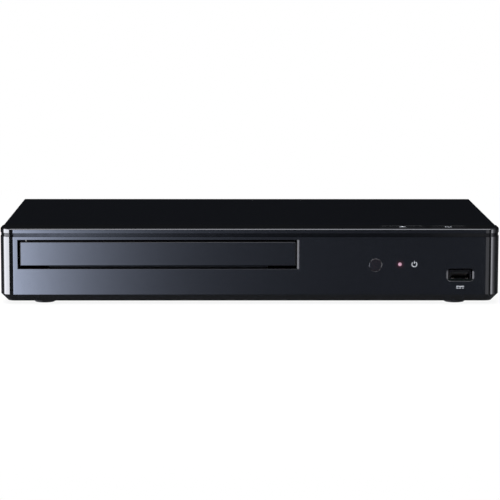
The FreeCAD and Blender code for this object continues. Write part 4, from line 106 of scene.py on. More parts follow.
class PlayerColours(bpy.types.PropertyGroup):
    """The colours of the player's finishes."""
    piano_black: colour("Piano black", "Polished ABS of the front", "#08090C")
    powder_black: colour("Powder black", "Powder coat of the cover", "#06070A")
    zinc: colour("Zinc", "Galvanised sheet of the chassis", "#A6AAAD")
    nickel: colour("Nickel", "Plated socket shells", "#B9B4A8")
    aluminium: colour("Aluminium", "Heatsinks and capacitor cans", "#C4C7CA")
    rubber: colour("Rubber", "Feet, belt and dampers", "#17181A")
    black_abs: colour("Black ABS", "Moulded tray and loader", "#101113")
    acetal: colour("Acetal", "Natural gears and cam", "#DEDACD")
    board: colour("Solder mask", "Printed boards", "#0B3B25")
    light: colour("Power light", "Glow of the power light", "#EFCEE0")
    ink: colour("Ink", "Printed signs", "#C9CCD2")


class PlayerSizes(bpy.types.PropertyGroup):
    """The sizes of the fine parts."""
    panel_edge: length("Panel edge", "Radius of the front panel's moulded edges", 0.22 * MM)
    door_edge: length("Door edge", "Radius of the tray door's edges", 0.2 * MM)
    sheet_edge: length("Sheet edge", "Radius of the sheet metal's cut edges", 0.12 * MM)
    moulded_edge: length("Moulded edge", "Radius of the small mouldings' edges", 0.18 * MM)
    ink_height: length("Ink height", "Thickness of the printed signs", 0.006 * MM)
    panel_corner: length("Panel corner", "Radius of the panel's corners seen from above", 9.0 * MM)
    groove_drop: length("Groove drop", "From the panel's top down to the groove", 3.1 * MM)
    groove_height: length("Groove height", "Height of the groove", 2.3 * MM)
    groove_depth: length("Groove depth", "Depth of the groove", 0.8 * MM)
    door_gap: length("Door gap", "Gap at the right of the tray door", 2.0 * MM)
    rim_width: length("Rim width", "Width of the bevel round the USB socket", 1.2 * MM)
    rim_depth: length("Rim depth", "Depth of the bevel round the USB socket", 0.75 * MM)
    thread_pitch: length("Thread pitch", "Pitch of the lead screw", 3.0 * MM)


class StudioSettings(bpy.types.PropertyGroup):
    """The camera and the lamps."""
    camera_place: bpy.props.FloatVectorProperty(
        name="Camera", description="Where the camera stands", subtype="TRANSLATION", unit="LENGTH",
        precision=4, default=(-0.01778, -1.45688, 0.21525))
    camera_pitch: angle("Pitch", "How far the camera looks down", 7.54)
    camera_yaw: angle("Yaw", "How far the camera turns to the right", 0.741)
    camera_roll: angle("Roll", "How far the camera leans", -0.10)
    lens: bpy.props.FloatProperty(
        name="Lens", description="Focal length", unit="CAMERA", default=159.4)
    overhead: bpy.props.FloatProperty(
        name="Overhead lamp", description="Power of the overhead softbox",
        subtype="POWER", unit="POWER", default=52.0)
    reflector: bpy.props.FloatProperty(
        name="Reflector", description="Brightness of the low reflector in front, of 10",
        subtype="FACTOR", min=0, max=1, default=0.895)


# Meshes. Shapes are worked out in millimetres, and closed_mesh turns them to metres.

SHARP_FROM = math.radians(35)  # where a new piece's edge is shown sharp
ROUND_FROM = math.radians(30)  # where a CAD node's edge is rounded
FLAT_WITHIN = math.radians(0.3)
FRONT = np.array(((1, 0, 0), (0, 0, 1), (0, -1, 0)), float)  # across, up and away from the face
TOP = np.array(((1, 0, 0), (0, 1, 0), (0, 0, 1)), float)
TO_REAR = (0, 1, 0)


def box_mm(node):
    """A node's lowest and highest corner at rest, in millimetres."""
    return [np.array(corner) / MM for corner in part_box(node)]


@contextlib.contextmanager
def reworked(mesh):
    """Opens a mesh for changes and writes them back."""
    work = bmesh.new()
    work.from_mesh(mesh)
    yield work
    work.to_mesh(mesh)
    work.free()


def closed_mesh(name, shapes):
    """A mesh of shapes with its doubles merged, its faces outwards and its hard edges sharp.

    A shape is a grid of points, rows by columns by 3, that closes round its columns, and a flag
    that says whether its last row joins its first.
    """
    points, faces, start = [], [], 0
    for grid, ring in shapes:
        place = np.arange(grid.shape[0] * grid.shape[1]).reshape(grid.shape[:2])
        near, far = (place, np.roll(place, -1, axis=0)) if ring else (place[:-1], place[1:])
        corners = near, np.roll(near, -1, axis=1), np.roll(far, -1, axis=1), far
        points.append(grid.reshape(-1, 3) * MM)
        faces.append(np.stack(corners, axis=-1).reshape(-1, 4) + start)
        start += place.size
    mesh = bpy.data.meshes.new(name)
    mesh.from_pydata(np.concatenate(points).tolist(), [], np.concatenate(faces).tolist())
    with reworked(mesh) as work:
        bmesh.ops.remove_doubles(work, verts=work.verts, dist=0.001 * MM)
        bmesh.ops.dissolve_degenerate(work, edges=work.edges, dist=0.0001 * MM)
        bmesh.ops.recalc_face_normals(work, faces=work.faces)
    mesh.shade_smooth()
    mesh.set_sharp_from_angle(angle=SHARP_FROM)
    return mesh


def add_piece(name, mesh, node, finish, replaces=False):
    """Puts a mesh into the scene as a piece that rides with a node, and may stand for it."""
    piece = bpy.data.objects.new(name, mesh)
    bpy.context.scene.collection.objects.link(piece)
    mesh.materials.clear()
    mesh.materials.append(FINISHES[finish])
    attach(piece, BODY_OF[node])
    if replaces:
        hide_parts(node)
    return piece


def make_piece(name, shapes, node, finish, replaces=False):
    """Makes a piece of its shapes."""
    return add_piece(name, closed_mesh(name, shapes), node, finish, replaces)


def face_centres(mesh):
    """The middle of each face of a mesh, in metres."""
    centres = np.empty(len(mesh.polygons) * 3)
    mesh.polygons.foreach_get("center", centres)
    return centres.reshape(-1, 3)


def carve(piece, cutter_mesh):
    """Takes a closed shape out of a piece's mesh."""
    cutter = bpy.data.objects.new("cutter", cutter_mesh)
    bpy.context.scene.collection.objects.link(cutter)
    cut = piece.modifiers.new("Cut", "BOOLEAN")
    cut.operation = "DIFFERENCE"
    cut.solver = "EXACT"
    cut.material_mode = "TRANSFER"
    cut.object = cutter
    shown = piece.evaluated_get(bpy.context.evaluated_depsgraph_get())
    carved = bpy.data.meshes.new_from_object(shown)
    if len(carved.polygons) < len(piece.data.polygons):
        raise RuntimeError(f"the cut in {piece.name} failed")
    piece.modifiers.clear()
    piece.data = carved
    bpy.data.objects.remove(cutter)


def weigh_edges(mesh, sharp_level):
    """Marks the edges to be rounded: all that turn far enough, but not those at one height."""
    with reworked(mesh) as work:
        weight = work.edges.layers.float.new("bevel_weight_edge")
        for edge in work.edges:
            away = max(abs(corner.co.z - sharp_level) for corner in edge.verts)
            edge[weight] = float(edge.calc_face_angle(0.0) > ROUND_FROM and away > 0.05 * MM)


def soften(node, width, finish, steps=2, cutter=None, edge_finish=None, sharp_level=None):
    """A copy of a CAD node with rounded edges, which stands for it.

    A cutter is taken out of it first, its roundings may have a finish of their own, and the edges at
    a sharp level stay as they are.
    """
    mesh = frame["nodes"][node].data.copy()
    with reworked(mesh) as work:
        bmesh.ops.remove_doubles(work, verts=work.verts, dist=0.002 * MM)
        bmesh.ops.dissolve_limit(work, angle_limit=FLAT_WITHIN, verts=work.verts, edges=work.edges)
    if mesh.attributes.get("custom_normal"):
        mesh.attributes.remove(mesh.attributes["custom_normal"])
    piece = add_piece(f"{node}_finished", mesh, node, finish, replaces=True)
    if cutter:
        carve(piece, cutter)
    piece.data.shade_smooth()
    piece.data.set_sharp_from_angle(angle=ROUND_FROM)
    edge = piece.modifiers.new("Rounded edges", "BEVEL")
    edge.width = width
    edge.segments = steps
    edge.limit_method = "ANGLE"
    edge.angle_limit = ROUND_FROM
    if sharp_level is not None:
        edge.limit_method = "WEIGHT"
        weigh_edges(piece.data, sharp_level)
    edge.miter_outer = "MITER_ARC"
    edge.use_clamp_overlap = True
    if edge_finish:
        piece.data.materials.append(FINISHES[edge_finish])
        edge.material = len(piece.data.materials) - 1
    flat = piece.modifiers.new("Flat faces", "WEIGHTED_NORMAL")
    flat.mode = "FACE_AREA"
    flat.weight = 100
    flat.keep_sharp = True
    return piece


# Shapes

def around(steps):
    """Angles all the way round."""
    return np.linspace(0, 2 * np.pi, steps, endpoint=False)


def quarter(steps=6):
    """Angles from zero to a right angle."""
    return np.linspace(0, np.pi / 2, steps)


def square_to(along):
    """Two directions square to a direction and to each other."""
    side = np.cross(along, (0, 1, 0) if abs(along[1]) < 0.9 else (1, 0, 0))
    side = side / np.linalg.norm(side)
    return side, np.cross(along, side)


def lathe(profile, centre, axis=(0, 0, 1), steps=48, ring=False):
    """A turned profile of radius r and height h: centre + h * axis + r * (cos t, sin t).

    A ring's profile closes on itself. Any other starts and ends on the axis.
    """
    radius, height = np.array(profile, float).T[..., None, None]
    along = np.array(axis, float) / np.linalg.norm(axis)
    side, other = square_to(along)
    turn = around(steps)[:, None]
    ray = np.cos(turn) * side + np.sin(turn) * other
    return np.array(centre) + height * along + radius * ray, ring


def closed_run(rings):
    """Rings of points in a row, each end drawn in to the middle of its ring."""
    rings = np.array(rings, float)
    ends = np.repeat(rings[[0, -1]].mean(axis=1, keepdims=True), rings.shape[1], axis=1)
    return np.concatenate([ends[:1], rings, ends[1:]]), False


def band(inner, outer, lift):
    """A flat bar between two lines of points, thickened by lift to each side."""
    return closed_run(np.stack([inner - lift, outer - lift, outer + lift, inner + lift], axis=1))


def rounded_outline(half_x, half_y, radius):
    """A rectangle with round corners about 0, 0: each corner's centre + radius * (cos t, sin t)."""
    turn = np.arange(4)[:, None] * np.pi / 2 + quarter()
    sign_x, sign_y = np.array([1, -1, -1, 1])[:, None], np.array([1, 1, -1, -1])[:, None]
    x = sign_x * (half_x - radius) + radius * np.cos(turn)
    y = sign_y * (half_y - radius) + radius * np.sin(turn)
    return np.stack([x.ravel(), y.ravel()], axis=-1)


def cushion(low, high, corner, edge, up="z", steps=3):
    """A block with round corners and edges: rings of a rounded rectangle from its foot to its head.

    The ring at angle t of an edge is drawn in by edge * (1 - cos t) and stands edge * (1 - sin t)
    short of the face.
    """
    order = {"z": [0, 1, 2], "y": [2, 0, 1], "x": [1, 2, 0]}[up]
    low, high = np.array(low, float)[order], np.array(high, float)[order]
    half_u, half_v = (high - low)[:2] / 2
    edge = min(edge, half_u * 0.95, half_v * 0.95, (high[2] - low[2]) * 0.45)
    corner = min(max(corner, edge * 1.02), half_u * 0.98, half_v * 0.98)
    turn = quarter(steps)[::-1]
    drawn, short = edge * (1 - np.cos(turn)), edge * (1 - np.sin(turn))
    insets = np.concatenate([drawn, drawn[::-1]])
    levels = np.concatenate([low[2] + short, high[2] - short[::-1]])
    middle = (low + high)[:2] / 2
    rings = [np.insert(middle + rounded_outline(half_u - inset, half_v - inset,
                                                max(corner - inset, 0.0001)), 2, level, axis=1)
             for inset, level in zip(insets, levels)]
    grid, ring = closed_run(rings)
    return grid[..., np.argsort(order)], ring


def tube(path, radius, sides):
    """A round bar along a path: point + radius * (cos t * side + sin t * other), square to it."""
    path = np.array(path, float)
    along = np.gradient(path, axis=0)
    along /= np.linalg.norm(along, axis=1, keepdims=True)
    upright = abs(along[:, 2]).max() >= 0.8
    side = np.cross(along, (0.93, 0.21, 0.1) if upright else (0.31, 0.17, 0.93))
    side /= np.linalg.norm(side, axis=1, keepdims=True)
    other = np.cross(along, side)
    turn = around(sides)[None, :, None]
    return closed_run(path[:, None] + radius * (np.cos(turn) * side[:, None]
                                                + np.sin(turn) * other[:, None]))


def recessed_head(centre, axis):
    """A pan head with a cross recess, on a polar grid of share r of its radius and angle t.

    It stands tall * sqrt(1 - 0.55 * r ** 4) high, less a cross-shaped dip that is deepest in the
    middle and fades along four arms.
    """
    radius, tall, steps = 2.69, 0.9, 32
    r, t = np.meshgrid(np.linspace(0, 1, 9), around(steps), indexing="ij")
    x, y = r * np.cos(t), r * np.sin(t)
    dip = np.clip(1 - np.minimum(abs(x), abs(y)) / 0.16, 0, 1) * np.clip((0.62 - r) / 0.2, 0, 1)
    rise = tall * (np.sqrt(1 - 0.55 * r ** 4) - 0.75 * dip)
    side, other = square_to(axis)
    base = np.array(centre) + radius * (x[..., None] * side + y[..., None] * other)
    middle = np.repeat(np.array(centre, float)[None, None], steps, axis=1)
    return np.concatenate([base + rise[..., None] * np.array(axis), base[-1:], middle]), False


def arc(radius, width, start, end):
    """A printed arc's two lines: (radius -+ width / 2) * (cos t, sin t) between two angles."""
    turn = np.radians(np.linspace(start, end, 40))
    ray = np.column_stack([np.cos(turn), np.sin(turn)])
    return ray * (radius - width / 2), ray * (radius + width / 2)


def bar(start, end, half_width):
    """A printed bar's two lines, each half its width from its middle line."""
    ends = np.array((start, end), float)
    side = (ends[1] - ends[0])[::-1] * (1, -1)
    side *= half_width / np.linalg.norm(side)
    return ends - side, ends + side


def print_on(face, centre, thickness, bands):
    """Bands of ink on a face, each given by two lines of places across and up from the centre."""
    inner_outer = [[np.array(centre) + np.array(line, float) @ face[:2] for line in lines]
                   for lines in bands]
    return [band(inner, outer, face[2] * thickness) for inner, outer in inner_outer]


# Finishes. Each is named for the real material and how its surface was made.

def add(beside, kind, settings=None, links=None):
    """Adds a node to a tree, or beside a node of it, with its settings and links."""
    tree = beside.id_data
    new = tree.nodes.new(f"ShaderNode{kind}")
    for key, value in (settings or {}).items():
        if isinstance(key, str) and hasattr(new, key):
            setattr(new, key, value)
        else:
            new.inputs[key].default_value = value
    for key, (source, output) in (links or {}).items():
        tree.links.new(source.outputs[output], new.inputs[key])
    return new


def feed(shader, socket, source, output):
    """Joins another node's output to a socket of a shader."""
    shader.id_data.links.new(source.outputs[output], shader.inputs[socket])


def start_finish(name, settings):
    """A new material with its shader's own values set, and the link to its object's own space."""
    material = bpy.data.materials.new(name)
    material.use_nodes = True
    tree = material.node_tree
    tree.nodes.clear()
    shader = add(tree, "BsdfPrincipled", settings)
    add(tree, "OutputMaterial", {}, {"Surface": (shader, "BSDF")})
    return material, shader, {"Vector": (add(tree, "TexCoord"), "Object")}


def drift(shader, place, size_mm, detail, low, high):
    """A slow noise of one feature size, mapped from its middle range to low and high."""
    noise = add(shader, "TexNoise", {"Scale": grain(size_mm), "Detail": detail}, place)
    return add(shader, "MapRange", {
        "From Min": 0.3, "From Max": 0.7, "To Min": low, "To Max": high}, {"Value": (noise, "Fac")})


def wander(shader, socket, place, size_mm, detail, low, high):
    """Lets a socket drift between two values."""
    feed(shader, socket, drift(shader, place, size_mm, detail, low, high), "Result")


def vary(shader, place, first, second, size_mm, detail=2.0):
    """Lets the base colour drift between two near shades."""
    blend = drift(shader, place, size_mm, detail, 0.0, 1.0)
    mix = add(shader, "Mix", {"data_type": "RGBA", 6: first, 7: second}, {0: (blend, "Result")})
    feed(shader, "Base Color", mix, 2)


def roughen(shader, height, output, depth_mm, strength):
    """Raises the surface by a height of one depth."""
    bump = add(shader, "Bump", {"Strength": strength, "Distance": depth_mm * MM},
               {"Height": (height, output)})
    feed(shader, "Normal", bump, "Normal")


def shade(tone, factor):
    """A colour made lighter or darker."""
    return (*[min(1.0, part * factor) for part in tone[:3]], 1.0)


def piano_black(colours, light_at=None):
    """Polished black ABS: a mirror-like moulding with a faint waviness and wiped-on haze.

    Where the power light is, it carries the light's glow as painted light: the moulding itself emits
    in a ring of 4 mm.
    """
    material, shader, place = start_finish("ABS piano black" + (" lit" if light_at else ""), {
        "Base Color": colours.piano_black, "IOR": 1.53, "Specular IOR Level": 0.5})
    # The tool polish leaves swells some 9 mm apart, and a cloth leaves haze in patches of 30 mm
    wander(shader, "Roughness", place, 30, 3.0, 0.055, 0.085)
    swell = add(shader, "TexNoise", {"Scale": grain(9), "Detail": 1.0}, place)
    roughen(shader, swell, "Fac", 0.012, 0.5)
    if light_at:
        # Painted glow: the panel emits pink-red within 4 mm of the power light, standing for that
        # light's spill on the moulding
        away = add(shader, "VectorMath", {"operation": "DISTANCE", 1: light_at}, place)
        glow = add(shader, "MapRange", {
            "interpolation_type": "SMOOTHERSTEP", "From Min": 0.0008, "From Max": 0.0036,
            "To Min": 0.05, "To Max": 0.0}, {"Value": (away, "Value")})
        shader.inputs["Emission Color"].default_value = linear("#B02A5A")
        feed(shader, "Emission Strength", glow, "Result")
    return material


def satin_edge(colours):
    """Black ABS where the tool's parting edge leaves it satin: it takes the light softly."""
    material, shader, place = start_finish("ABS satin edge", {
        "Base Color": colours.piano_black, "IOR": 1.53, "Specular IOR Level": 0.13})
    wander(shader, "Roughness", place, 6, 2.0, 0.12, 0.18)
    return material


def powder_coat(colours):
    """Black polyester powder on steel: a fine orange peel, dull and even."""
    material, shader, place = start_finish("Powder coat black", {
        "IOR": 1.5, "Specular IOR Level": 0.03})
    vary(shader, place, shade(colours.powder_black, 0.95), shade(colours.powder_black, 1.08), 3)
    wander(shader, "Roughness", place, 2.5, 3.0, 0.42, 0.45)
    # The powder flows out to pimples about 0.5 mm apart
    peel = add(shader, "TexNoise", {"Scale": grain(0.5), "Detail": 3.0}, place)
    roughen(shader, peel, "Fac", 0.02, 0.5)
    return material


def galvanised_sheet(colours):
    """Hot-dip zinc: grey metal in frosted spangles."""
    material, shader, place = start_finish("Galvanised sheet", {"Metallic": 1.0})
    # Spangles are 5 mm across
    cell = add(shader, "TexVoronoi", {"Scale": grain(5), "Randomness": 1.0}, place)
    spangle = add(shader, "SeparateXYZ", {}, {0: (cell, "Color")})
    dull, bright = shade(colours.zinc, 0.88), shade(colours.zinc, 1.08)
    tone = add(shader, "Mix", {"data_type": "RGBA", 6: dull, 7: bright}, {0: (spangle, "X")})
    feed(shader, "Base Color", tone, 2)
    rough = add(shader, "MapRange", {"To Min": 0.26, "To Max": 0.4}, {"Value": (spangle, "Y")})
    feed(shader, "Roughness", rough, "Result")
    return material


def drawn_metal(name, tone, roughness, along, size_mm=0.25):
    """Rolled or drawn metal: fine lines along one axis."""
    material, shader, place = start_finish(name, {"Base Color": tone, "Metallic": 1.0})
    stretch = {"x": (0.02, 1, 1), "y": (1, 0.02, 1), "z": (1, 1, 0.02)}[along]
    lines = add(shader, "Mapping", {"Scale": stretch}, place)
    brushed = add(shader, "TexNoise", {"Scale": grain(size_mm), "Detail": 2.0},
                  {"Vector": (lines, "Vector")})
    rough = add(shader, "MapRange", {"To Min": roughness * 0.75, "To Max": roughness * 1.3},
                {"Value": (brushed, "Fac")})
    feed(shader, "Roughness", rough, "Result")
    roughen(shader, brushed, "Fac", 0.006, 0.4)
    return material


def moulded_plastic(name, tone, roughness, texture_mm=0.35, depth_mm=0.012, soft=0.0, gloss=0.5):
    """An injection moulding with the fine spark-eroded texture of its tool."""
    material, shader, place = start_finish(name, {
        "Roughness": roughness, "IOR": 1.49, "Specular IOR Level": gloss, "Subsurface Weight": soft,
        "Subsurface Scale": 0.0015})
    vary(shader, place, shade(tone, 0.93), shade(tone, 1.07), 12)
    spark = add(shader, "TexNoise", {"Scale": grain(texture_mm), "Detail": 2.0}, place)
    roughen(shader, spark, "Fac", depth_mm, 0.6)
    return material


def solder_mask(colours):
    """Glass-epoxy board: copper tracks 1.2 mm apart show through the lacquer."""
    material, shader, place = start_finish("Solder mask green", {"Roughness": 0.32, "IOR": 1.5})
    waves = [add(shader, "TexWave", {
        "bands_direction": axis, "Scale": bands(1.2), "Distortion": 0.0}, place) for axis in "XY"]
    field = add(shader, "TexVoronoi", {"distance": "CHEBYCHEV", "Scale": grain(13)}, place)
    pick = add(shader, "Math", {"operation": "GREATER_THAN", 1: 0.45}, {0: (field, "Color")})
    either = add(shader, "Mix", {"data_type": "FLOAT"},
                 {0: (pick, 0), 2: (waves[0], "Fac"), 3: (waves[1], "Fac")})
    track = add(shader, "Math", {"operation": "GREATER_THAN", 1: 0.62}, {0: (either, 0)})
    tone = add(shader, "Mix", {"data_type": "RGBA", 6: colours.board, 7: shade(colours.board, 2.1)},
               {0: (track, 0)})
    feed(shader, "Base Color", tone, 2)
    roughen(shader, track, 0, 0.03, 0.5)
    return material


def vulcanised_rubber(colours):
    """Black rubber: matt, with a dusty bloom on its raised places."""
    material, shader, place = start_finish("Vulcanised rubber", {"Roughness": 0.78, "IOR": 1.52})
    vary(shader, place, colours.rubber, shade(colours.rubber, 1.8), 3)
    pores = add(shader, "TexNoise", {"Scale": grain(0.3), "Detail": 3.0}, place)
    roughen(shader, pores, "Fac", 0.02, 0.6)
    return material


def epoxy(name, tone, roughness=0.5):
    """Cast epoxy or sintered ferrite: matt with a fine sparkle."""
    material, shader, place = start_finish(name, {"IOR": 1.55})
    vary(shader, place, shade(tone, 0.85), shade(tone, 1.2), 0.4, 4.0)
    wander(shader, "Roughness", place, 0.3, 2.0, roughness * 0.85, roughness * 1.15)
    return material


def red_filter():
    """Deep red polycarbonate that looks black until light falls straight through it."""
    material, shader, place = start_finish("Polycarbonate red filter", {
        "IOR": 1.58, "Roughness": 0.05, "Coat Weight": 0.2})
    vary(shader, place, linear("#0A0507"), linear("#12070A"), 4)
    return material


def glowing_acrylic(colours):
    """Clear acrylic with the power light behind it: brightest in the middle of its end."""
    material, shader, place = start_finish("Acrylic light guide", {
        "IOR": 1.49, "Roughness": 0.15, "Base Color": linear("#7A3A50"),
        "Emission Color": colours.light})
    wander(shader, "Emission Strength", place, 0.8, 1.0, 0.37, 0.52)
    return material


def coated_glass():
    """A moulded glass lens with a blue-violet coating."""
    material, shader, place = start_finish("Coated glass", {
        "IOR": 1.52, "Roughness": 0.02, "Transmission Weight": 0.6, "Coat Weight": 0.6})
    vary(shader, place, linear("#6C7FD0"), linear("#8E6CC8"), 3)
    return material


def striped_film(across):
    """Flat cable: white polyester over tinned conductors 1 mm apart."""
    material, shader, place = start_finish(f"Flat cable {across.lower()}", {
        "Roughness": 0.35, "IOR": 1.6})
    wave = add(shader, "TexWave", {"bands_direction": across, "Scale": bands(1.0)},
               place)
    tone = add(shader, "Mix", {"data_type": "RGBA", 6: linear("#E9ECEE"), 7: linear("#B4BABF")},
               {0: (wave, "Fac")})
    feed(shader, "Base Color", tone, 2)
    roughen(shader, wave, "Fac", 0.05, 0.5)
    return material


def clear_glass():
    """A drawn glass tube, almost clear, with faint draw lines along it."""
    material, shader, place = start_finish("Drawn glass", {
        "Base Color": linear("#E8F0EC"), "IOR": 1.5, "Transmission Weight": 1.0})
    lines = add(shader, "Mapping", {"Scale": (1, 0.03, 1)}, place)
    drawn = add(shader, "TexNoise", {"Scale": grain(0.6), "Detail": 1.0},
                {"Vector": (lines, "Vector")})
    rough = add(shader, "MapRange", {"To Min": 0.01, "To Max": 0.06}, {"Value": (drawn, "Fac")})
    feed(shader, "Roughness", rough, "Result")
    return material


FINISHES = {}


def make_finishes(colours):
    """Builds every finish once, under the name that the pieces use."""
    light_low, light_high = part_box("power_light_guide")
    light_at = (light_high + light_low) / 2
    # Centre of the painted glow on the front panel: the front of the light guide's round end
    painted_glow_at = (light_at.x, light_low.y, light_high.z - (light_high.x - light_low.x) / 2)
    FINISHES.update({
        "piano": piano_black(colours),
        "edge": satin_edge(colours),
        # The front panel's piano black, which carries the painted glow round the power light
        "panel": piano_black(colours, painted_glow_at),
        "powder": powder_coat(colours),
        "zinc": galvanised_sheet(colours),
        "nickel": drawn_metal("Nickel plate", colours.nickel, 0.24, "y"),
        "dark_nickel": drawn_metal("Black nickel plate", linear("#1E1E20"), 0.3, "y"),
        "contacts": drawn_metal("Gold flash", linear("#CDA04A"), 0.22, "y"),
        "screws": drawn_metal("Black zinc plate", linear("#26272A"), 0.34, "z"),
        "rods": drawn_metal("Ground steel", linear("#C9CCCF"), 0.12, "y"),
        "can": drawn_metal("Zinc-plated can", linear("#AEB2B4"), 0.26, "z"),
        "extrusion": drawn_metal("Extruded aluminium", colours.aluminium, 0.3, "y"),
        "casting": drawn_metal("Die-cast alloy", linear("#8F9498"), 0.42, "x", 0.8),
        "rubber": vulcanised_rubber(colours),
        "abs": moulded_plastic("ABS black textured", colours.black_abs, 0.42, gloss=0.2),
        "socket": moulded_plastic("PBT black", linear("#0A0A0B"), 0.36, gloss=0.22),
        "acetal": moulded_plastic("Acetal natural", colours.acetal, 0.34, 0.8, 0.006, 0.12),
        "nylon": moulded_plastic("Nylon white", linear("#E4DFD0"), 0.4, 0.5, 0.008, 0.1),
        "orange": moulded_plastic("ABS orange", linear("#C8641B"), 0.28, 1.0, 0.004),
        "board": solder_mask(colours),
        "epoxy": epoxy("Moulded epoxy", linear("#1A1B1D")),
        "ferrite": epoxy("Sintered ferrite", linear("#2C2A29"), 0.62),
        "filter": red_filter(),
        "light": glowing_acrylic(colours),
        "glass": coated_glass(),
        "cable_y": striped_film("X"),
        "cable_x": striped_film("Y"),
        "tin": drawn_metal("Tinned lead frame", linear("#C9C6BE"), 0.3, "z"),
        "amber": moulded_plastic("Polycarbonate amber", linear("#B88A28"), 0.15, 2.0, 0.002, 0.1),
        "clear_glass": clear_glass(),
        "tape": moulded_plastic("Polyester tape", linear("#C9A227"), 0.25, 2.0, 0.004),
        "sleeve": moulded_plastic("Shrink sleeve", linear("#1B2A4A"), 0.3, 2.0, 0.004),
        "ink": moulded_plastic("Pad-printed ink", colours.ink, 0.5, 0.2, 0.002),
        "red_wire": moulded_plastic("PVC red", linear("#B3201C"), 0.35, 1.0, 0.004),
        "black_wire": moulded_plastic("PVC black", linear("#1C1C1E"), 0.35, 1.0, 0.004),
    })


PLAIN_NODES = {
    "rubber": ("drive_belt",),
    "socket": ("power_switch_plunger", "open_close_switch_plunger"),
    "board": ("main_board", "power_board", "front_board", "key_board"),
    "light": ("power_light_guide", "power_light"),
    "cable_y": ("panel_ribbon",),
    "cable_x": ("drive_ribbon",),
}
MOULDED_NODES = {
    "abs": ("loader_frame", "lens_holder", "lift_frame", "disc_tray"),
    "acetal": ("tray_gear", "pulley_gear", "motor_pulley", "slide_cam", "sled_follower",
               "clamp_puck", "turntable"),
    "socket": ("ir_receiver", "mains_inlet"),
    "nylon": ("board_connectors",),
    "rubber": ("rubber_dampers",),
    "ferrite": ("power_transformer",),
}
SHEET_NODES = {
    "zinc": ("bottom_chassis",),
    "powder": ("rear_panel", "top_cover"),
    "can": ("clamp_bridge", "traverse_plate", "spindle_motor", "feed_motor", "loading_motor",
            "tact_switches"),
    "nickel": ("hdmi_socket",),
    "rods": ("guide_rods",),
    "extrusion": ("main_heatsink", "power_heatsink"),
    "casting": ("pickup_sled",),
}


class FinishSolids(bpy.types.Operator):
    """Builds the finishes and gives every plain solid its own"""
    bl_idname = "player.finish_solids"
    bl_label = "Finishes"

    def execute(self, context):
        make_finishes(context.scene.player_colours)
        for finish, nodes in PLAIN_NODES.items():
            for node in nodes:
                for slot in frame["nodes"][node].material_slots:
                    slot.material = FINISHES[finish]
        return {"FINISHED"}


class SoftenSolids(bpy.types.Operator):
    """Rounds the edges of the mouldings and of the sheet metal"""
    bl_idname = "player.soften_solids"
    bl_label = "Rounded edges"

    def execute(self, context):
        sizes = context.scene.player_sizes
        for width, groups in ((sizes.moulded_edge, MOULDED_NODES), (sizes.sheet_edge, SHEET_NODES)):
            for finish, nodes in groups.items():
                for node in nodes:
                    soften(node, width, finish)
        return {"FINISHED"}


def panel_outline(inset, corner, low, high):
    """The front panel from above, drawn in: side, arc of corner - inset, front, arc and side."""
    turn, radius = quarter(12), corner - inset
    x = low[0] + corner - radius * np.cos(turn)
    y = low[1] + corner - radius * np.sin(turn)
    left = np.column_stack([np.append(low[0] + inset, x), np.append(high[1], y)])
    right = left[::-1] * (-1, 1) + (low[0] + high[0], 0)
    return np.concatenate([left, right])


def socket_flare(sizes):
    """The cutter of the USB socket's bevel: rounded outlines that grow towards the front.

    The bevel's left end is polished and the rest of it satin.
    """
    low, high = box_mm("usb_socket_shell")
    middle, half = (low + high) / 2, (high - low) / 2
    wide, deep = sizes.rim_width / MM, sizes.rim_depth / MM
    opening = half[[0, 2]] + (0.95, 0.5)  # as the solid panel has it round the shell
    halves = (opening - (0.3, 0.2), opening + wide * np.array((1, 0.6)),
              opening + wide * np.array((1.4, 0.84)))
    depths = box_mm("front_panel")[0][1] + deep * np.array((1.2, 0, -0.4))
    rings = [np.insert(middle[[0, 2]] + rounded_outline(*sides, corner), 1, depth, axis=1)
             for sides, corner, depth in zip(halves, (1.2, 2.6, 3.1), depths)]
    cutter = closed_mesh("rim_cutter", [closed_run(rings)])
    for finish in ("edge", "piano"):
        cutter.materials.append(FINISHES[finish])
    polished = face_centres(cutter)[:, 0] < (middle[0] - half[0] * 0.9) * MM
    cutter.polygons.foreach_set("material_index", polished.astype(int))
    return cutter


def make_groove(sizes):
    """The groove's slanted bed: a wedge, given by insets and levels, that runs round the panel."""
    low, high = box_mm("front_panel")
    top = high[2] - sizes.groove_drop / MM
    bottom, deep = top - sizes.groove_height / MM, sizes.groove_depth / MM + 0.05
    section = ((0.32, top), (deep, top), (deep, bottom), (0.45, bottom))
    lines = [np.insert(panel_outline(inset, sizes.panel_corner / MM, low, high), 2, level, axis=1)
             for inset, level in section]
    make_piece("groove_bed", [closed_run(np.stack(lines, axis=1))], "front_panel", "edge")


def make_opening_bevel(sizes):
    """The bevel on the right wall of the tray's opening, which catches the light."""
    low, high = box_mm("tray_door")
    front = box_mm("front_panel")[0][1]
    wall, wide, deep, back = high[0] + sizes.door_gap / MM + 0.03, 1.15, 0.7, 0.9
    corners = np.array([(wall, front + 0.03), (wall, front + back), (wall - wide, front + back),
                        (wall - wide, front + deep)])
    rings = [np.insert(corners, 2, level, axis=1) for level in (low[2] - 1.85, high[2] + 1.15)]
    make_piece("opening_bevel", [closed_run(rings)], "front_panel", "edge")


class MakeFront(bpy.types.Operator):
    """Front panel with its groove and socket rim, tray door and buttons"""
    bl_idname = "player.front"
    bl_label = "Front and buttons"

    def execute(self, context):
        sizes = context.scene.player_sizes
        groove_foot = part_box("front_panel")[1].z - sizes.groove_drop - sizes.groove_height
        soften("front_panel", sizes.panel_edge, "panel", 3, socket_flare(sizes),
               sharp_level=groove_foot)
        soften("tray_door", sizes.door_edge, "piano", 3, edge_finish="edge")
        for node in ("power_button", "open_close_button"):
            soften(node, sizes.panel_edge, "piano", 3)
        make_groove(sizes)
        make_opening_bevel(sizes)
        return {"FINISHED"}


def standby_sign(radius, width, foot, head, half_width):
    """An open ring with a bar in its gap."""
    return [arc(radius, width, 122, 418), bar((0, foot), (0, head), half_width)]


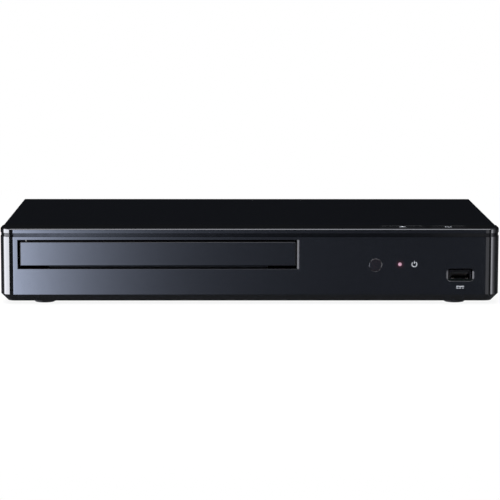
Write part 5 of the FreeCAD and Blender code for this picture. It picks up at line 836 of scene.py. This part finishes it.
def direct_current_sign():
    """A long bar over three dashes."""
    dashes = [bar((middle - 0.6, -1.1), (middle + 0.6, -1.1), 0.2) for middle in (-1.8, 0, 1.8)]
    return [bar((-2.4, 0), (2.4, 0), 0.22), *dashes]


def eject_sign():
    """A triangle over a bar: the triangle is a band whose back line shrinks to a point."""
    return [(((-2.2, -0.4), (2.2, -0.4)), ((-0.05, 2.0), (0.05, 2.0))),
            bar((-2.2, -1.7), (2.2, -1.7), 0.35)]


class MakeSigns(bpy.types.Operator):
    """Printed signs: standby, direct current, and eject and standby again on the buttons"""
    bl_idname = "player.signs"
    bl_label = "Printed signs"

    def execute(self, context):
        ink = context.scene.player_sizes.ink_height / MM
        front = box_mm("front_panel")[0][1]
        low, high = box_mm("power_light_guide")
        by_light = (high[0] + 8.0, front, high[2] - (high[0] - low[0]) / 2)
        low, high = box_mm("usb_socket_shell")
        by_socket = ((low[0] + high[0]) / 2, front, low[2] - 4.3)
        signs = (print_on(FRONT, by_light, ink, standby_sign(1.55, 0.42, 0.35, 2.1, 0.21))
                 + print_on(FRONT, by_socket, ink, direct_current_sign()))
        make_piece("front_signs", signs, "front_panel", "ink")
        for node, sign in (("power_button", standby_sign(1.9, 0.45, 0.5, 2.6, 0.22)),
                           ("open_close_button", eject_sign())):
            low, high = box_mm(node)
            centre = (*(low + high)[:2] / 2, high[2])
            make_piece(f"{node}_sign", print_on(TOP, centre, ink, sign), node, "ink")
        return {"FINISHED"}


def make_window():
    """A disc turned about Y, with a rounded rim and a faintly domed face."""
    low, high = box_mm("ir_window")
    radius, rim, dome, thick = (high[0] - low[0]) / 2, 0.3, 0.04, high[1] - low[1]
    face = [(0, 0), (radius * 0.5, dome * 0.25), (radius * 0.8, dome * 0.75)]
    edge = [(radius - rim + rim * np.sin(t), dome + rim * (1 - np.cos(t))) for t in quarter()]
    centre = ((low[0] + high[0]) / 2, low[1], (low[2] + high[2]) / 2)
    disc = lathe(face + edge + [(radius, thick), (0, thick)], centre, TO_REAR, 64)
    make_piece("ir_window_finished", [disc], "ir_window", "filter", replaces=True)


def make_guide():
    """The light guide's domed end, on the CAD guide's own axis."""
    low, high = box_mm("power_light_guide")
    radius = (high[0] - low[0]) / 2
    inside, crown, length = radius * 0.999, 0.25, 1.2
    dome = [(inside * np.sin(t), crown * (1 - np.cos(t))) for t in quarter(7)]
    end = lathe(dome + [(inside, length), (0, length)],
                (low[0] + radius, low[1], high[2] - radius), TO_REAR, 32)
    make_piece("light_dome", [end], "power_light_guide", "light")


def make_usb_contacts():
    """Four gilt strips under the tongue, and two springs in the shell that arch by the cosine."""
    low, high = box_mm("usb_socket_tongue")
    shell_low, shell_high = box_mm("usb_socket_shell")
    middle = (low[0] + high[0]) / 2
    wall, gap, tongue, half_width, proud = 0.35, 0.4, 1.9, 0.5, 0.12
    under = shell_high[2] - wall - gap - tongue
    strips = [cushion((middle + place - half_width, low[1] + 0.5, under - proud),
                      (middle + place + half_width, low[1] + 7.5, under + 0.1), 0.1, 0.08)
              for place in (-3.5, -1.0, 1.0, 3.5)]
    make_piece("usb_contacts", strips, "usb_socket_tongue", "contacts")
    half_length, rise = 1.6, 0.55
    bend = np.linspace(-1, 1, 9)
    side, lift = np.array((0.75, 0, 0)), np.array((0, 0, 0.12))
    springs = []
    for place in (-4.4, 4.4):
        path = np.column_stack([np.full(9, middle + place),
                                shell_low[1] + 2.6 + bend * half_length,
                                shell_low[2] + 0.3 + rise * np.cos(bend * np.pi / 2)])
        springs.append(band(path - side, path + side, lift))
    make_piece("usb_springs", springs, "usb_socket_shell", "nickel")


class MakeFrontParts(bpy.types.Operator):
    """Infrared window, light guide and USB socket"""
    bl_idname = "player.front_parts"
    bl_label = "Window, light and socket"

    def execute(self, context):
        sizes = context.scene.player_sizes
        make_window()
        make_guide()
        soften("usb_socket_shell", sizes.sheet_edge, "dark_nickel")
        soften("usb_socket_tongue", sizes.moulded_edge, "socket")
        make_usb_contacts()
        return {"FINISHED"}


# Which way each screw's head looks, and where the heads rest
SCREW_ROWS = (
    ((1, 0, 0), [(155.6, 52, 10), (155.6, -46, 10)]),
    ((-1, 0, 0), [(-155.6, 52, 10), (-155.6, -46, 10)]),
    ((0, 1, 0), [(x, 82, z) for x in (-115, 103.05) for z in (41.7, 7.8)]),
    ((0, 0, -1), [*[(x, -79.7, 3) for x in (-118, 0, 118)],
                  *[(x, -79.6, 39) for x in (72.8, 140.8)]]),
    ((0, 0, 1), [*[(x, y, 11.2) for x in (29.7, 97.8) for y in (-8.7, 55.8)],
                 *[(x, y, 11.2) for x in (108.3, 147.3) for y in (-28.7, 55.8)],
                 *[(x, -65.1, 15.75) for x in (69.5, 142.5)],
                 *[(x, y, 9.8) for x in (-129, 14.2) for y in (-51, 70)]]),
)


class MakeScrews(bpy.types.Operator):
    """Pan-head screws with cross recesses and rolled threads"""
    bl_idname = "player.screws"
    bl_label = "Screws"

    def execute(self, context):
        """Each shank is turned, and its radius swings between crest and root every half pitch."""
        crest, root, half_pitch = 1.48, 1.22, 0.3
        height = np.arange(half_pitch, 3.2, half_pitch)
        thread = np.where(np.arange(len(height)) % 2, root, crest)
        shank = [(0, 0), (crest, 0), *zip(thread, height), (0.7, 3.5), (0, 3.6)]
        screws = []
        for axis, seats in SCREW_ROWS:
            for seat in seats:
                screws += [recessed_head(seat, axis), lathe(shank, seat, np.negative(axis), 16)]
        make_piece("case_screws_finished", screws, "case_screws", "screws", replaces=True)
        return {"FINISHED"}


class MakeFeet(bpy.types.Operator):
    """Turned rubber feet with a ring that stands on the floor"""
    bl_idname = "player.feet"
    bl_label = "Feet"

    def execute(self, context):
        low, high = box_mm("rubber_feet")
        radius, top, edge = 6.5, high[2] - low[2], 0.7
        profile = [(0, 0.5), (3.6, 0.5), (4.0, 0.1), (4.3, 0),
                   *[(radius - edge * (1 - np.sin(t)), edge * (1 - np.cos(t))) for t in quarter()],
                   (radius, top), (0, top)]
        feet = [lathe(profile, (x, y, low[2]), steps=64)
                for x in (low[0] + radius, high[0] - radius)
                for y in (low[1] + radius, high[1] - radius)]
        make_piece("rubber_feet_finished", feet, "rubber_feet", "rubber", replaces=True)
        return {"FINISHED"}


def make_picture_socket():
    """A black tongue over the solid one, with gilt strips on both its sides."""
    low, high = box_mm("hdmi_socket")
    left, right, under, front = low[0] + 2.95, high[0] - 2.95, low[2] + 2.35, high[1] - 1.45
    tongue_thick, half_width, strip_thick = 0.9, 0.16, 0.06
    tongue = cushion((left, front - 9, under), (right, front, under + tongue_thick), 0.2, 0.15)
    make_piece("hdmi_tongue", [tongue], "hdmi_socket", "socket")
    strips, pitch = [], (right - left) / 9
    for count, level, start in ((9, under + tongue_thick - 0.02, 0.5), (8, under - 0.04, 1.0)):
        for middle in left + (start + np.arange(count)) * pitch:
            strips.append(cushion((middle - half_width, front - 7, level),
                                  (middle + half_width, front - 0.5, level + strip_thick),
                                  0.05, 0.02, steps=2))
    make_piece("hdmi_contacts", strips, "hdmi_socket", "contacts")


def make_network_socket(sizes):
    """The shield keeps its plate, and every face inside the mouth is the black moulding."""
    low, high = box_mm("lan_socket")
    shield = soften("lan_socket", sizes.sheet_edge, "nickel")
    shield.data.materials.append(FINISHES["socket"])
    centres = face_centres(shield.data)
    inside = np.all((centres > (low + (1, 1, 0.5)) * MM) & (centres < (high - (1, 0.5, 1)) * MM),
                    axis=1)
    shield.data.polygons.foreach_set("material_index", inside.astype(int))
    middle = (low[0] + high[0]) / 2
    run, pitch, length, fall = np.linspace(0, 1, 7), 1.02, 8.5, 3.6
    wires = [tube(np.column_stack([np.full(7, middle + step * pitch), high[1] - 1.8 - length * run,
                                   high[2] - 1.9 - fall * run ** 1.4]), 0.2, 6)
             for step in np.arange(8) - 3.5]
    make_piece("lan_contacts", wires, "lan_socket", "contacts")
    half_width, proud = 1.2, 0.05
    windows = [cushion((middle + side - half_width, high[1] - 1, high[2] - 1.35),
                       (middle + side + half_width, high[1] + proud, high[2] - 0.35),
                       0.15, 0.08, up="y") for side in (-5.6, 5.6)]
    make_piece("lan_lights", windows, "lan_socket", "amber")


BARREL = ((3.6, 0), (3.6, 1.4), (4.0, 1.4), (4.15, 1.55), (4.15, 8.6), (3.98, 8.95), (3.4, 8.95),
          (3.25, 8.8), (3.25, 1.5), (3.0, 1.4), (3.0, 0))
CORE = ((0, 1.45), (3.2, 1.45), (3.2, 1.8), (2.45, 2.0), (2.45, 7.0), (2.2, 7.3), (1.7, 7.3),
        (1.55, 7.1), (1.55, 2.4), (0, 2.4))


def make_coaxial_jack():
    """An orange block that carries a plated barrel and an orange core, both turned about Y."""
    low, high = box_mm("coax_jack")
    rear = box_mm("rear_panel")[0][1]
    centre = ((low[0] + high[0]) / 2, rear, low[2] + 8)
    block = cushion(low, (high[0], rear, high[2]), 0.8, 0.4, up="y")
    make_piece("coax_body", [block], "coax_jack", "orange", replaces=True)
    barrel = lathe(BARREL, centre, TO_REAR, 64, ring=True)
    make_piece("coax_barrel", [barrel], "coax_jack", "nickel")
    make_piece("coax_core", [lathe(CORE, centre, TO_REAR)], "coax_jack", "orange")


def make_inlet_pins():
    """Two turned pins with domed tips."""
    low, high = box_mm("mains_inlet_pins")
    radius, reach = (high[2] - low[2]) / 2, high[1] - low[1]
    tip = [(radius * np.cos(t), reach - radius * (1 - np.sin(t))) for t in quarter()]
    pins = [lathe([(0, 0), (radius, 0), *tip], (x, low[1], (low[2] + high[2]) / 2), TO_REAR, 32)
            for x in (low[0] + radius, high[0] - radius)]
    make_piece("mains_inlet_pins_finished", pins, "mains_inlet_pins", "nickel", replaces=True)


class MakeRearParts(bpy.types.Operator):
    """Tongue and contacts, plastic inside the network socket, coaxial jack and inlet pins"""
    bl_idname = "player.rear_parts"
    bl_label = "Rear sockets"

    def execute(self, context):
        make_picture_socket()
        make_network_socket(context.scene.player_sizes)
        make_coaxial_jack()
        make_inlet_pins()
        return {"FINISHED"}


def make_lead_screw(pitch):
    """A threaded shaft: crest - depth * clip(2.4 * |saw(s / pitch - t / turn)| - 1.1, 0, 1).

    s runs along the shaft and t round it, so the groove climbs one pitch a turn. It fades out
    short of the two plain ends.
    """
    low, high = box_mm("lead_screw")
    joint = JOINT_OF["lead_screw_spin"]
    pivot, axis = np.array(joint["pos_m"]) / MM, np.array(joint["axis"], float)
    start, end = (np.array((low[1] + 0.12, high[1] - 0.12)) - pivot[1]) / axis[1]
    crest, depth, plain = 1.48, 0.42, 2
    s = np.linspace(start, end, 420)[:, None]
    turn = np.linspace(0, 1, 20, endpoint=False)[None]
    saw = abs((s / pitch - turn) % 1 - 0.5) * 2
    cut = np.clip(np.minimum(s - start - plain, end - plain - s) / 0.3, 0, 1)
    radius = crest - depth * np.clip(2.4 * saw - 1.1, 0, 1) * cut
    side = np.array((1.0, 0, 0))
    angle = 2 * np.pi * turn[..., None]
    ray = np.cos(angle) * side + np.sin(angle) * np.cross(axis, side)
    rings = pivot + s[..., None] * axis + radius[..., None] * ray
    make_piece("lead_screw_finished", [closed_run(rings)], "lead_screw", "rods", replaces=True)


def make_lens():
    """A lens turned about the focus axis: its height is rim + dome * (1 - (r / R) ** 2) ** 0.6."""
    low, high = box_mm("objective_lens")
    axis = np.array(JOINT_OF["lens_focus"]["axis"], float)
    radius, rim, dome = (high[0] - low[0]) / 2, 0.75, 0.95
    base = ((low[0] + high[0]) / 2, high[1] - radius * axis[2], low[2] - radius * axis[1])
    crown = [(radius * 0.82 * r, rim + dome * (1 - r ** 2) ** 0.6) for r in np.linspace(1, 0, 14)]
    profile = [(0, 0), (radius * 0.98, 0), (radius, 0.1), (radius, rim - 0.05),
               (radius * 0.97, rim), *crown]
    make_piece("objective_lens_finished", [lathe(profile, base, axis)], "objective_lens", "glass",
               replaces=True)


def make_turntable_ring():
    """A rubber ring on the turntable's rim, turned about the spindle's axis, 0.1 mm proud."""
    joint = JOINT_OF["spindle_spin"]
    profile = ((11.2, -0.3), (11.2, 0.06), (11.35, 0.1), (13.35, 0.1), (13.5, 0.06), (13.5, -0.3))
    ring = lathe(profile, np.array(joint["pos_m"]) / MM, joint["axis"], 64, ring=True)
    make_piece("turntable_ring", [ring], "turntable", "rubber")


class MakeDriveParts(bpy.types.Operator):
    """Lead screw with its thread, objective lens, turntable ring"""
    bl_idname = "player.drive_parts"
    bl_label = "Lead screw, lens and ring"

    def execute(self, context):
        make_lead_screw(context.scene.player_sizes.thread_pitch / MM)
        make_lens()
        make_turntable_ring()
        return {"FINISHED"}


# The chips from their lowest to their highest corner, and the sides that carry legs
CHIPS = (((52.75, 15.4, 11.2), (74.75, 37.4, 13.2), "xy"),
         ((57.25, 50.4, 11.2), (70.25, 58.4, 12.4), "y"),
         ((51.75, -3.2, 11.2), (61.75, 7.8, 12.4), "xy"),
         ((65.75, -3.2, 11.2), (75.75, 7.8, 12.4), "xy"))
LEG_PITCH, LEG_REACH, LEG_THICKNESS = 0.8, 1.0, 0.12
# Each capacitor's centre, radius, foot and top
CANS = {
    "main_capacitors": [(x, y, 3.15, 11.2, 18.2) for x in (31.2, 96.3) for y in (-2.2, 5.2)],
    "power_capacitors": [(119, 37.8, 7.0, 11.2, 35.2),
                         *[(x, -8.2, 4.0, 11.2, 25.2) for x in (117.8, 127.8, 137.8)]],
}


def chip_grids(low, high, sides):
    """A chip's body, drawn in by the reach of its legs, and its gull-wing legs."""
    low, high = np.array(low, float), np.array(high, float)
    drawn = np.array([LEG_REACH if side in sides else 0 for side in "xy"])
    foot, middle, half = low[2] + LEG_THICKNESS, (low + high) / 2, (high - low) / 2
    body = cushion((*(low[:2] + drawn), foot), (*(high[:2] - drawn), high[2]), 0.3, 0.12)
    run = np.array((-0.2, 0.35, 0.5, LEG_REACH))
    lift = np.array((0, 0, LEG_THICKNESS / 2))
    legs = []
    for along, across in ((0, 1), (1, 0)):
        if "xy"[across] not in sides:
            continue
        count = int((2 * (half[along] - drawn[along]) - 1.0) / LEG_PITCH)
        for sign in (-1, 1):
            for place in middle[along] + (np.arange(count) - (count - 1) / 2) * LEG_PITCH:
                path = np.zeros((4, 3))
                path[:, along] = place
                path[:, across] = middle[across] + sign * (half[across] - LEG_REACH + run)
                path[:, 2] = (middle[2], middle[2], foot, foot)
                wide = np.zeros(3)
                wide[along] = 0.17
                legs.append(band(path - wide, path + wide, lift))
    return body, legs


def make_chips():
    """Every chip in one piece, and all their legs in another."""
    grids = [chip_grids(*chip) for chip in CHIPS]
    make_piece("main_chips_finished", [body for body, _ in grids], "main_chips", "epoxy",
               replaces=True)
    make_piece("chip_legs", [leg for _, legs in grids for leg in legs], "main_chips", "tin")


def make_capacitors(node, cans):
    """Turned cans: a sleeve with a rolled groove near its foot, and the bare top inside its lip."""
    sleeves, tops = [], []
    for x, y, radius, foot, top in cans:
        tall, side = top - foot, radius - 0.02
        sleeve = ((0, 0.1), (radius * 0.9, 0.1), (side, 0.5), (side, 1.6), (radius * 0.9, 2.0),
                  (side, 2.4), (side, tall - 0.5), (radius * 0.93, tall - 0.08),
                  (radius * 0.8, tall - 0.05), (radius * 0.8, tall - 0.4), (0, tall - 0.4))
        bare = ((0, tall - 0.5), (radius * 0.79, tall - 0.5), (radius * 0.79, tall - 0.14),
                (radius * 0.7, tall - 0.1), (radius * 0.3, tall - 0.14), (0, tall - 0.16))
        sleeves.append(lathe(sleeve, (x, y, foot), steps=40))
        tops.append(lathe(bare, (x, y, foot), steps=40))
    make_piece(f"{node}_finished", sleeves, node, "sleeve", replaces=True)
    make_piece(f"{node}_tops", tops, node, "extrusion")


def make_winding():
    """A taped coil about the core's middle leg: rounded rectangles that swell by sin(pi * v)."""
    low, high = box_mm("power_transformer")
    v, yoke = np.linspace(0, 1, 12), 3.4
    levels = low[2] + yoke + v * (high[2] - low[2] - 2 * yoke)
    inner = rounded_outline(4.4, 11.2, 1.0)
    outer = [rounded_outline(7.9 + swell, 13.2 + swell, 3.0) for swell in 0.5 * np.sin(np.pi * v)]
    middle = (low + high)[:2] / 2
    rings = [np.insert(middle + outline, 2, level, axis=1)
             for outline, level in zip([inner, *outer, inner], levels[[0, *range(12), -1]])]
    make_piece("transformer_winding", [(np.array(rings), True)], "power_transformer", "tape")


def make_fuse():
    """A glass tube between two plated caps, with a wire inside, all about Y."""
    low, high = box_mm("mains_fuse")
    x, _, z = (low + high) / 2
    radius, reach = (high[0] - low[0]) / 2, high[1] - low[1]
    cap = ((0, 0), (2.3, 0), (2.55, 0.25), (2.55, 4.6), (2.5, 4.8), (2.3, 4.8), (2.3, 1), (0, 1))
    caps = [lathe(cap, (x, low[1], z), TO_REAR, 32), lathe(cap, (x, high[1], z), (0, -1, 0), 32)]
    make_piece("mains_fuse_finished", caps, "mains_fuse", "nickel", replaces=True)
    outer, inner, start, end = radius - 0.35, radius - 0.7, 1.2, reach - 1.2
    wall = ((outer, start), (outer, end), (inner, end), (inner, start))
    glass = lathe(wall, (x, low[1], z), TO_REAR, 32, ring=True)
    make_piece("fuse_glass", [glass], "mains_fuse", "clear_glass")
    run, swing, margin = np.linspace(0, 1, 24), 0.35, 1.1
    path = np.column_stack([x + swing * np.sin(run * 5 * np.pi),
                            low[1] + margin + run * (reach - 2 * margin), np.full(24, z)])
    make_piece("fuse_wire", [tube(path, 0.12, 6)], "mains_fuse", "tin")


def make_harness():
    """Six wires from one plug to the other: each an arch x = cos, z = sin to the power 0.6."""
    low, high = box_mm("power_harness")
    radius, foot, plug, margin = 0.75, low[2] - 0.6, 1.2, 1.6
    turn = quarter(25)[::-1] * 2
    x = (low[0] + high[0]) / 2 + ((high[0] - low[0]) / 2 - radius - plug) * np.cos(turn)
    z = foot + (high[2] - radius - 0.1 - foot) * np.sin(turn) ** 0.6
    pitch = (high[1] - low[1] - 2 * margin) / 5
    for finish, rows in (("red_wire", (0, 3)), ("black_wire", (1, 2, 4, 5))):
        places = [low[1] + margin + row * pitch for row in rows]
        wires = [tube(np.column_stack([x, np.full(25, y), z]), radius, 10) for y in places]
        make_piece(f"power_harness_{finish.split('_')[0]}", wires, "power_harness", finish,
                   replaces=True)


class MakeBoardParts(bpy.types.Operator):
    """Chips with legs, capacitors, winding, fuse and harness"""
    bl_idname = "player.board_parts"
    bl_label = "Board parts"

    def execute(self, context):
        make_chips()
        for node, cans in CANS.items():
            make_capacitors(node, cans)
        make_winding()
        make_fuse()
        make_harness()
        return {"FINISHED"}


# The stage, in metres

def stage_plane(name, corners, material):
    """A flat sheet of the stage between four corners, in order."""
    mesh = bpy.data.meshes.new(name)
    mesh.from_pydata([list(corner) for corner in corners], [], [(0, 1, 2, 3)])
    mesh.materials.append(material)
    sheet = bpy.data.objects.new(name, mesh)
    bpy.context.scene.collection.objects.link(sheet)
    return sheet


def glowing_card(name, start, fade, bright, base, axis="X", tint="#F5F6FF"):
    """A glow of base + bright * exp((start - place) / fade), held a little before its start."""
    material = bpy.data.materials.new(name)
    material.use_nodes = True
    tree = material.node_tree
    tree.nodes.clear()
    split = add(tree, "SeparateXYZ", {}, {"Vector": (add(tree, "TexCoord"), "Object")})
    power = add(tree, "Math", {"operation": "MULTIPLY_ADD", 1: -1 / fade, 2: start / fade},
                {0: (split, axis)})
    held = add(tree, "Math", {"operation": "MINIMUM", 1: 0.35}, {0: (power, 0)})
    decay = add(tree, "Math", {"operation": "EXPONENT"}, {0: (held, 0)})
    ramp = add(tree, "Math", {"operation": "MULTIPLY_ADD", 1: bright, 2: base}, {0: (decay, 0)})
    glow = add(tree, "Emission", {"Color": linear(tint)}, {"Strength": (ramp, 0)})
    add(tree, "OutputMaterial", {}, {"Surface": (glow, 0)})
    return material


def make_floor():
    """White paper that the camera sees as white, with the object's soft shadow kept on it."""
    material, shader, place = start_finish("Studio paper white", {
        "Roughness": 0.9, "Specular IOR Level": 0.1})
    output = shader.outputs["BSDF"].links[0].to_node
    vary(shader, place, linear("#FBFBFB"), linear("#FFFFFF"), 80)
    away = add(shader, "VectorMath", {"operation": "LENGTH"}, place)
    whiteness = add(shader, "MapRange", {
        "interpolation_type": "SMOOTHSTEP", "From Min": 0.16, "From Max": 0.6,
        "To Min": 0.90, "To Max": 1.0}, {"Value": (away, "Value")})
    path = add(shader, "LightPath")
    mixed = add(shader, "Math", {"operation": "MULTIPLY"},
                {0: (whiteness, "Result"), 1: (path, "Is Camera Ray")})
    white = add(shader, "Emission", {"Color": (1, 1, 1, 1), "Strength": 1.0})
    seen = add(shader, "MixShader", {}, {0: (mixed, 0), 1: (shader, 0), 2: (white, 0)})
    feed(output, "Surface", seen, 0)
    corners = ((-3, -2.6, 0), (3, -2.6, 0), (3, 3, 0), (-3, 3, 0))
    stage_plane("studio_floor", corners, material).visible_glossy = False


def make_cards(reflector):
    """The cards that the gloss alone shows: three in front and one at each side.

    Each has its lowest and highest corner, and then the values of its glow.
    """
    cards = {
        "low": ((-0.40, -1.2, -0.30), (0.30, -1.2, 0.0), -0.2416, 0.0717, 10 * reflector, 0.287,
                "X", "#D6E2FF"),
        "corner": ((0.305, -1.2, -0.5), (0.90, -1.2, 0.0), 0.3, 10.0, 0.9, 0.3),
        "high": ((-1.4, -1.2, 0.5), (1.4, -1.2, 2.0), -0.24, 0.10, 1.0, 9.0),
        "left": ((-1.5, -1.45, -0.9), (-1.5, 0.5, 0.6), 0.02, 0.08, 12.0, 0.0, "Y"),
        "right": ((1.5, -1.15, -0.9), (1.5, 0.5, 0.6), -0.8, 0.28, 4.8, 0.0, "Y"),
    }
    for name, (low, high, *glow) in cards.items():
        corners = (low, (*high[:2], low[2]), high, (*low[:2], high[2]))
        card = stage_plane(f"reflector_{name}", corners, glowing_card(f"Reflector {name}", *glow))
        for ray in ("camera", "diffuse", "transmission", "shadow"):
            setattr(card, f"visible_{ray}", False)


def make_softbox(scene, watts):
    """One large softbox overhead, which the gloss doesn't show."""
    lamp = bpy.data.lights.new("softbox_overhead", "AREA")
    lamp.shape = "SQUARE"
    lamp.size = 1.7
    lamp.energy = watts
    stand = bpy.data.objects.new("softbox_overhead", lamp)
    stand.location = (-0.3, -0.35, 1.7)
    stand.visible_glossy = False
    scene.collection.objects.link(stand)


def make_world(scene):
    """White to the camera, soft on matt surfaces, and in gloss a dark room with dome and floor."""
    world = bpy.data.worlds.new("Studio")
    world.use_nodes = True
    scene.world = world
    tree = world.node_tree
    tree.nodes.clear()
    path = add(tree, "LightPath")
    white = add(tree, "Background", {"Color": (1, 1, 1, 1), "Strength": 1.0})
    soft = add(tree, "Background", {"Color": linear("#E6EAF2"), "Strength": 0.35})
    split = add(tree, "SeparateXYZ", {}, {"Vector": (add(tree, "TexCoord"), "Generated")})
    heights = ((0.4, 0.95, 0.012, 0.7), (-0.02, -0.16, 0.0, 0.16))
    dome, ground = [add(tree, "MapRange", {
        "interpolation_type": "SMOOTHSTEP", "From Min": start, "From Max": end,
        "To Min": dark, "To Max": pale}, {"Value": (split, "Z")})
        for start, end, dark, pale in heights]
    level = add(tree, "Math", {"operation": "ADD"}, {0: (dome, "Result"), 1: (ground, "Result")})
    room = add(tree, "Background", {"Color": linear("#E6EAF2")}, {"Strength": (level, 0)})
    gloss = add(tree, "MixShader", {}, {0: (path, "Is Glossy Ray"), 1: (soft, 0), 2: (room, 0)})
    seen = add(tree, "MixShader", {}, {0: (path, "Is Camera Ray"), 1: (gloss, 0), 2: (white, 0)})
    add(tree, "OutputWorld", {}, {"Surface": (seen, 0)})


def make_camera(scene, settings):
    """The camera at the photograph's viewing angle, with a lean about its own axis."""
    lens = bpy.data.cameras.new("Camera")
    lens.sensor_width = 36.0
    lens.lens = settings.lens
    lens.clip_start, lens.clip_end = 0.01, 20.0
    camera = bpy.data.objects.new("Camera", lens)
    camera.location = settings.camera_place
    look = Euler((math.pi / 2 - settings.camera_pitch, 0, -settings.camera_yaw)).to_matrix()
    lean = Matrix.Rotation(-settings.camera_roll, 3, "Z")
    camera.rotation_euler = (look @ lean).to_euler()
    scene.collection.objects.link(camera)
    scene.camera = camera


class MakeStage(bpy.types.Operator):
    """White floor, softbox, reflector cards, world and camera"""
    bl_idname = "player.stage"
    bl_label = "Studio"

    def execute(self, context):
        scene = context.scene
        settings = scene.player_studio
        make_floor()
        make_cards(settings.reflector)
        make_softbox(scene, settings.overhead)
        make_world(scene)
        make_camera(scene, settings)
        scene.view_settings.view_transform = "Standard"
        return {"FINISHED"}


class PlayerPanel(bpy.types.Panel):
    """The pieces in the order in which they are made"""
    bl_idname = "VIEW3D_PT_player"
    bl_label = "Player"
    bl_space_type = "VIEW_3D"
    bl_region_type = "UI"
    bl_category = "Player"

    def draw(self, context):
        for step in STEPS:
            self.layout.operator(step.bl_idname)
        for group in GROUPS:
            settings = getattr(context.scene, group)
            for name in settings.__annotations__:
                self.layout.prop(settings, name)


GROUPS = {"player_colours": PlayerColours, "player_sizes": PlayerSizes,
          "player_studio": StudioSettings}
STEPS = (MakeStage, FinishSolids, SoftenSolids, MakeFront, MakeSigns, MakeFrontParts, MakeScrews,
         MakeFeet, MakeRearParts, MakeDriveParts, MakeBoardParts)


def register():
    for group in (*GROUPS.values(), *STEPS, PlayerPanel):
        bpy.utils.register_class(group)
    for name, group in GROUPS.items():
        setattr(bpy.types.Scene, name, bpy.props.PointerProperty(type=group))


def unregister():
    for name in GROUPS:
        delattr(bpy.types.Scene, name)
    for group in (PlayerPanel, *reversed(STEPS), *GROUPS.values()):
        bpy.utils.unregister_class(group)


def main():
    """Makes every piece in order."""
    register()
    for step in STEPS:
        getattr(bpy.ops.player, step.bl_idname.split(".")[1])()


if __name__ == "__main__":
    main()
